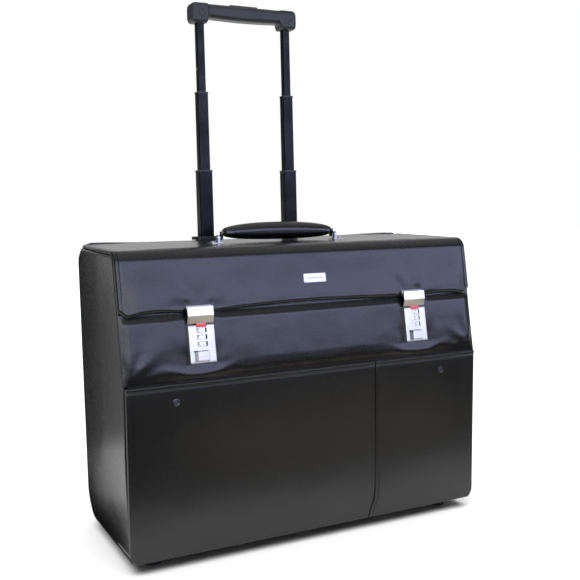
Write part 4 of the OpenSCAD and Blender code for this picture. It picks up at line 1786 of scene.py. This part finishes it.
class FLIGHTCASE_OT_inside(PieceOperator, bpy.types.Operator):
    """Line the divider and the cover over the tubes"""

    bl_idname = "flightcase.inside"
    bl_label = "Lined boards inside"

    def execute(self, context):
        low, high = case_box("divider_panel")
        y = (low.y + high.y) / 2
        inner_board(
            "divider_cover",
            "divider_panel",
            lambda x, z, out: Vector((x, y - out, z)),
            (low.x, high.x, low.z, high.z, high.y - low.y),
        )
        low, high = case_box("tube_cover_panel")
        board = inner_board(
            "tube_cover",
            "tube_cover_panel",
            lambda x, z, out: tube_point(x, -14.5 - out, z),
            (low.x, high.x, 9.0, 333.0, 3.0),
        )
        cut_away(
            board,
            [grown(case_box("left_wheel_housing"), 0.5), grown(case_box("right_wheel_housing"), 0.5)],
        )
        return {"FINISHED"}


PLAIN_FINISHES = {
    "nickel": [
        "left_lock_case",
        "right_lock_case",
        "left_hasp",
        "right_hasp",
        "hasp_plates",
        "left_release_button",
        "right_release_button",
        "handle_brackets",
    ],
    "steel": [
        "lock_back_plates",
        "dial_axles",
        "hasp_pins",
        "hinge_body_leaf",
        "hinge_lid_leaf",
        "hinge_pin",
        "handle_core",
        "wheel_axles",
    ],
    "anodised": [
        "outer_tubes",
        "left_stage_1_tube",
        "right_stage_1_tube",
        "left_stage_2_tube",
        "right_stage_2_tube",
        "stage_3_tubes",
    ],
    "plastic": [
        "tube_bezels",
        "tube_foot_bracket",
        "left_wheel_housing",
        "right_wheel_housing",
        "stage_1_collars",
        "stage_2_collars",
        "grip_button",
        "left_hub",
        "right_hub",
    ],
    "rubber": ["front_feet"],
    "tyre": ["left_tyre", "right_tyre"],
    "red": ["lock_indicators"],
    "screw": ["grip_screws"],
}


class FLIGHTCASE_OT_finishes(PieceOperator, bpy.types.Operator):
    """Give every hard part that keeps its own shape its metal, plastic or rubber finish"""

    bl_idname = "flightcase.finishes"
    bl_label = "Metal and plastic finishes"

    def execute(self, context):
        for finish, nodes in PLAIN_FINISHES.items():
            for node in nodes:
                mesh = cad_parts[node].data
                mesh.materials.clear()
                mesh.materials.append(material(finish))
        return {"FINISHED"}


def aim(obj, place, target):
    """Stands a light at a place and turns it to a target."""
    obj.location = Vector(place)
    obj.rotation_mode = "QUATERNION"
    obj.rotation_quaternion = (Vector(target) - Vector(place)).to_track_quat("-Z", "Y")


def studio_card(name, corners, colour, glow):
    """A studio card that only reflections see: a dark flag, or a glowing white one."""
    mesh = bpy.data.meshes.new(name)
    mesh.from_pydata([Vector(c) for c in corners], [], [(0, 1, 2, 3)])
    obj = bpy.data.objects.new(name, mesh)
    bpy.context.scene.collection.objects.link(obj)
    card, tree = new_material(name + "_card")
    finish_material(
        tree,
        Base_Color=(*linear(colour), 1),
        Roughness=1.0,
        Specular_IOR_Level=0.0,
        Emission_Color=(*linear(colour), 1),
        Emission_Strength=glow,
    )
    mesh.materials.append(card)
    obj.visible_camera = False
    obj.visible_diffuse = False
    obj.visible_shadow = False
    obj.visible_transmission = False


# The cards that only reflections see: name, colour, share of the window's strength, corners
CARDS = (
    # The windows in front, seen in the flap, the padding and the locks
    (
        "front_window",
        "#cdd4ff",
        1.0,
        [(-0.1, -2.0, 0.50), (2.9, -1.6, 0.50), (2.9, -1.7, 1.42), (-0.1, -2.1, 1.42)],
    ),
    (
        "side_window",
        "#eef0ff",
        0.9,
        [(-2.2, -1.7, 0.50), (-0.1, -2.0, 0.50), (-0.1, -2.1, 1.42), (-2.2, -1.8, 1.42)],
    ),
    # The dark floor further out in front, seen in the upper half of the pockets
    (
        "dark_floor",
        "#060606",
        0.0,
        [(-1.0, -0.27, 0.002), (3.0, -0.27, 0.002), (3.0, -4.0, 0.002), (-1.0, -4.0, 0.002)],
    ),
    # Black flags close behind, seen in the rear half of the side
    (
        "black_flag",
        "#050505",
        0.0,
        [(-0.371, 0.50, 0.0), (-0.10, 0.50, 0.0), (-0.10, 0.50, 0.335), (-0.371, 0.50, 0.335)],
    ),
    (
        "black_flag_on_floor",
        "#050505",
        0.0,
        [(-0.24, -0.017, 0.002), (-0.17, -0.017, 0.002), (-0.17, 0.5, 0.002), (-0.371, 0.5, 0.002)],
    ),
    # Grey floor further out behind, seen in the front half of the side
    (
        "grey_floor",
        "#868686",
        0.0,
        [(-3.0, 0.30, 0.001), (-0.32, 0.40, 0.001), (-1.3, 4.0, 0.001), (-3.0, 4.0, 0.001)],
    ),
    # The case's own shadow beside it, seen along the foot of the side
    (
        "side_shadow",
        "#161616",
        0.0,
        [(-0.237, -0.11, 0.003), (-0.285, 0.06, 0.003), (-0.285, 0.19, 0.003), (-0.237, 0.0, 0.003)],
    ),
    # Warm paper in front, seen in the slanted lower faces of the hasps
    (
        "warm_paper",
        "#e8dcc2",
        0.0,
        [(-0.03, -0.41, 0.004), (0.52, -0.41, 0.004), (0.52, -0.58, 0.004), (-0.03, -0.58, 0.004)],
    ),
)


class FLIGHTCASE_OT_stage(PieceOperator, bpy.types.Operator):
    """Set up the pale floor, the white surroundings, the soft lights and the camera"""

    bl_idname = "flightcase.stage"
    bl_label = "Stage"

    def execute(self, context):
        stage = settings().stage
        scene = context.scene
        scene.view_settings.view_transform = "Standard"
        scene.view_settings.look = "None"

        camera = bpy.data.cameras.new("camera")
        camera.sensor_fit = "HORIZONTAL"
        camera.sensor_width = 36
        camera.lens = 18 / math.tan(stage.view_angle / 2)
        camera.clip_start, camera.clip_end = 0.01, 100
        eye = bpy.data.objects.new("camera", camera)
        scene.collection.objects.link(eye)
        cy, sy = math.cos(stage.yaw), math.sin(stage.yaw)
        cp, sp = math.cos(stage.pitch), math.sin(stage.pitch)
        forward = Vector((sy * cp, cy * cp, -sp))
        right = Vector((cy, -sy, 0))
        up = right.cross(forward)
        cr, sr = math.cos(stage.roll), math.sin(stage.roll)
        right, up = right * cr + up * sr, up * cr - right * sr
        turn = Matrix((right, up, -forward)).transposed().to_4x4()
        turn.translation = Vector(stage.camera_place)
        eye.matrix_world = turn
        scene.camera = eye

        size = stage.floor_size / 2
        mesh = bpy.data.meshes.new("floor")
        mesh.from_pydata(
            [(-size, -size, 0), (size, -size, 0), (size, size, 0), (-size, size, 0)],
            [],
            [(0, 1, 2, 3)],
        )
        floor = bpy.data.objects.new("floor", mesh)
        scene.collection.objects.link(floor)
        # Matt white paper.
        paper, tree = new_material("white_paper_floor")
        place = add(tree, "ShaderNodeTexCoord")
        cloud = add(tree, "ShaderNodeTexNoise", {"Vector": (place, "Object"), "Scale": 3.0, "Detail": 2.0})
        tone = add(
            tree,
            "ShaderNodeValToRGB",
            {"Fac": (cloud, "Fac")},
            stops=((0.3, "#f4f4f4"), (0.7, "#f7f7f7")),
        )
        finish_material(tree, Base_Color=(tone, "Color"), Roughness=0.9, Specular_IOR_Level=0.1)
        mesh.materials.append(paper)

        world = bpy.data.worlds.new("white_surroundings")
        scene.world = world
        world.use_nodes = True
        world.node_tree.nodes.clear()
        # A white backdrop behind the case that fades into a dim room round its front;
        # the camera itself sees white all round.
        tree = world.node_tree
        way = add(tree, "ShaderNodeTexCoord")
        facing = add(
            tree,
            "ShaderNodeVectorMath",
            {0: (way, "Generated"), 1: (sy, cy, 0.0)},
            operation="DOT_PRODUCT",
        )
        room = add(
            tree,
            "ShaderNodeMapRange",
            {
                "Value": (facing, "Value"),
                "From Min": 0.69,
                "From Max": 0.93,
                "To Min": stage.room,
                "To Max": stage.backdrop,
            },
            interpolation_type="SMOOTHSTEP",
        )
        height = add(tree, "ShaderNodeSeparateXYZ", {"Vector": (way, "Generated")})
        ceiling = add(
            tree,
            "ShaderNodeMapRange",
            {
                "Value": (height, "Z"),
                "From Min": 0.42,
                "From Max": 0.85,
                "To Min": 0.0,
                "To Max": stage.ceiling,
            },
            interpolation_type="SMOOTHSTEP",
        )
        around = add(
            tree,
            "ShaderNodeMath",
            {0: (ceiling, "Result"), 1: (room, "Result")},
            operation="MAXIMUM",
        )
        seen = add(tree, "ShaderNodeLightPath")
        strength = add(
            tree,
            "ShaderNodeMath",
            {0: (seen, "Is Camera Ray"), 1: (around, "Value")},
            operation="MAXIMUM",
        )
        back = add(
            tree,
            "ShaderNodeBackground",
            {"Color": (1.0, 1.0, 1.0, 1.0), "Strength": (strength, "Value")},
        )
        add(tree, "ShaderNodeOutputWorld", {"Surface": (back, "Background")})

        for name, colour, share, corners in CARDS:
            studio_card(name, corners, colour, stage.window * share)
        sky = bpy.data.lights.new("sky", "SUN")
        sky.energy = stage.sky
        sky.angle = math.radians(80)
        sun = bpy.data.objects.new("sky", sky)
        scene.collection.objects.link(sun)
        aim(sun, (-0.3, -0.5, 3.0), (0, 0, 0))
        sun.visible_glossy = False
        return {"FINISHED"}


class FLIGHTCASE_PT_panel(bpy.types.Panel):
    """Lists the case's operators and settings in the 3D view's sidebar"""

    bl_idname = "FLIGHTCASE_PT_panel"
    bl_label = "Pilot flight case"
    bl_space_type = "VIEW_3D"
    bl_region_type = "UI"
    bl_category = "Flight Case"

    def draw(self, context):
        layout = self.layout
        column = layout.column(align=True)
        for operator in OPERATORS:
            column.operator(operator.bl_idname)
        case = context.scene.flight_case
        for group in (case.leather, case.stitch, case.stage):
            box = layout.box()
            for name in group.__annotations__:
                box.prop(group, name)


OPERATORS = (
    FLIGHTCASE_OT_stage,
    FLIGHTCASE_OT_body,
    FLIGHTCASE_OT_pockets,
    FLIGHTCASE_OT_padding,
    FLIGHTCASE_OT_lid,
    FLIGHTCASE_OT_rail,
    FLIGHTCASE_OT_dials,
    FLIGHTCASE_OT_carry_handle,
    FLIGHTCASE_OT_pull_handle,
    FLIGHTCASE_OT_inside,
    FLIGHTCASE_OT_finishes,
)
CLASSES = (LeatherSettings, StitchSettings, StageSettings, CaseSettings, *OPERATORS, FLIGHTCASE_PT_panel)


def register():
    for cls in CLASSES:
        bpy.utils.register_class(cls)
    bpy.types.Scene.flight_case = PointerProperty(type=CaseSettings)


def unregister():
    del bpy.types.Scene.flight_case
    for cls in reversed(CLASSES):
        bpy.utils.unregister_class(cls)


def main():
    """Builds the whole case in order."""
    register()
    for operator in OPERATORS:
        group, name = operator.bl_idname.split(".")
        getattr(getattr(bpy.ops, group), name)()


if __name__ == "__main__":
    main()
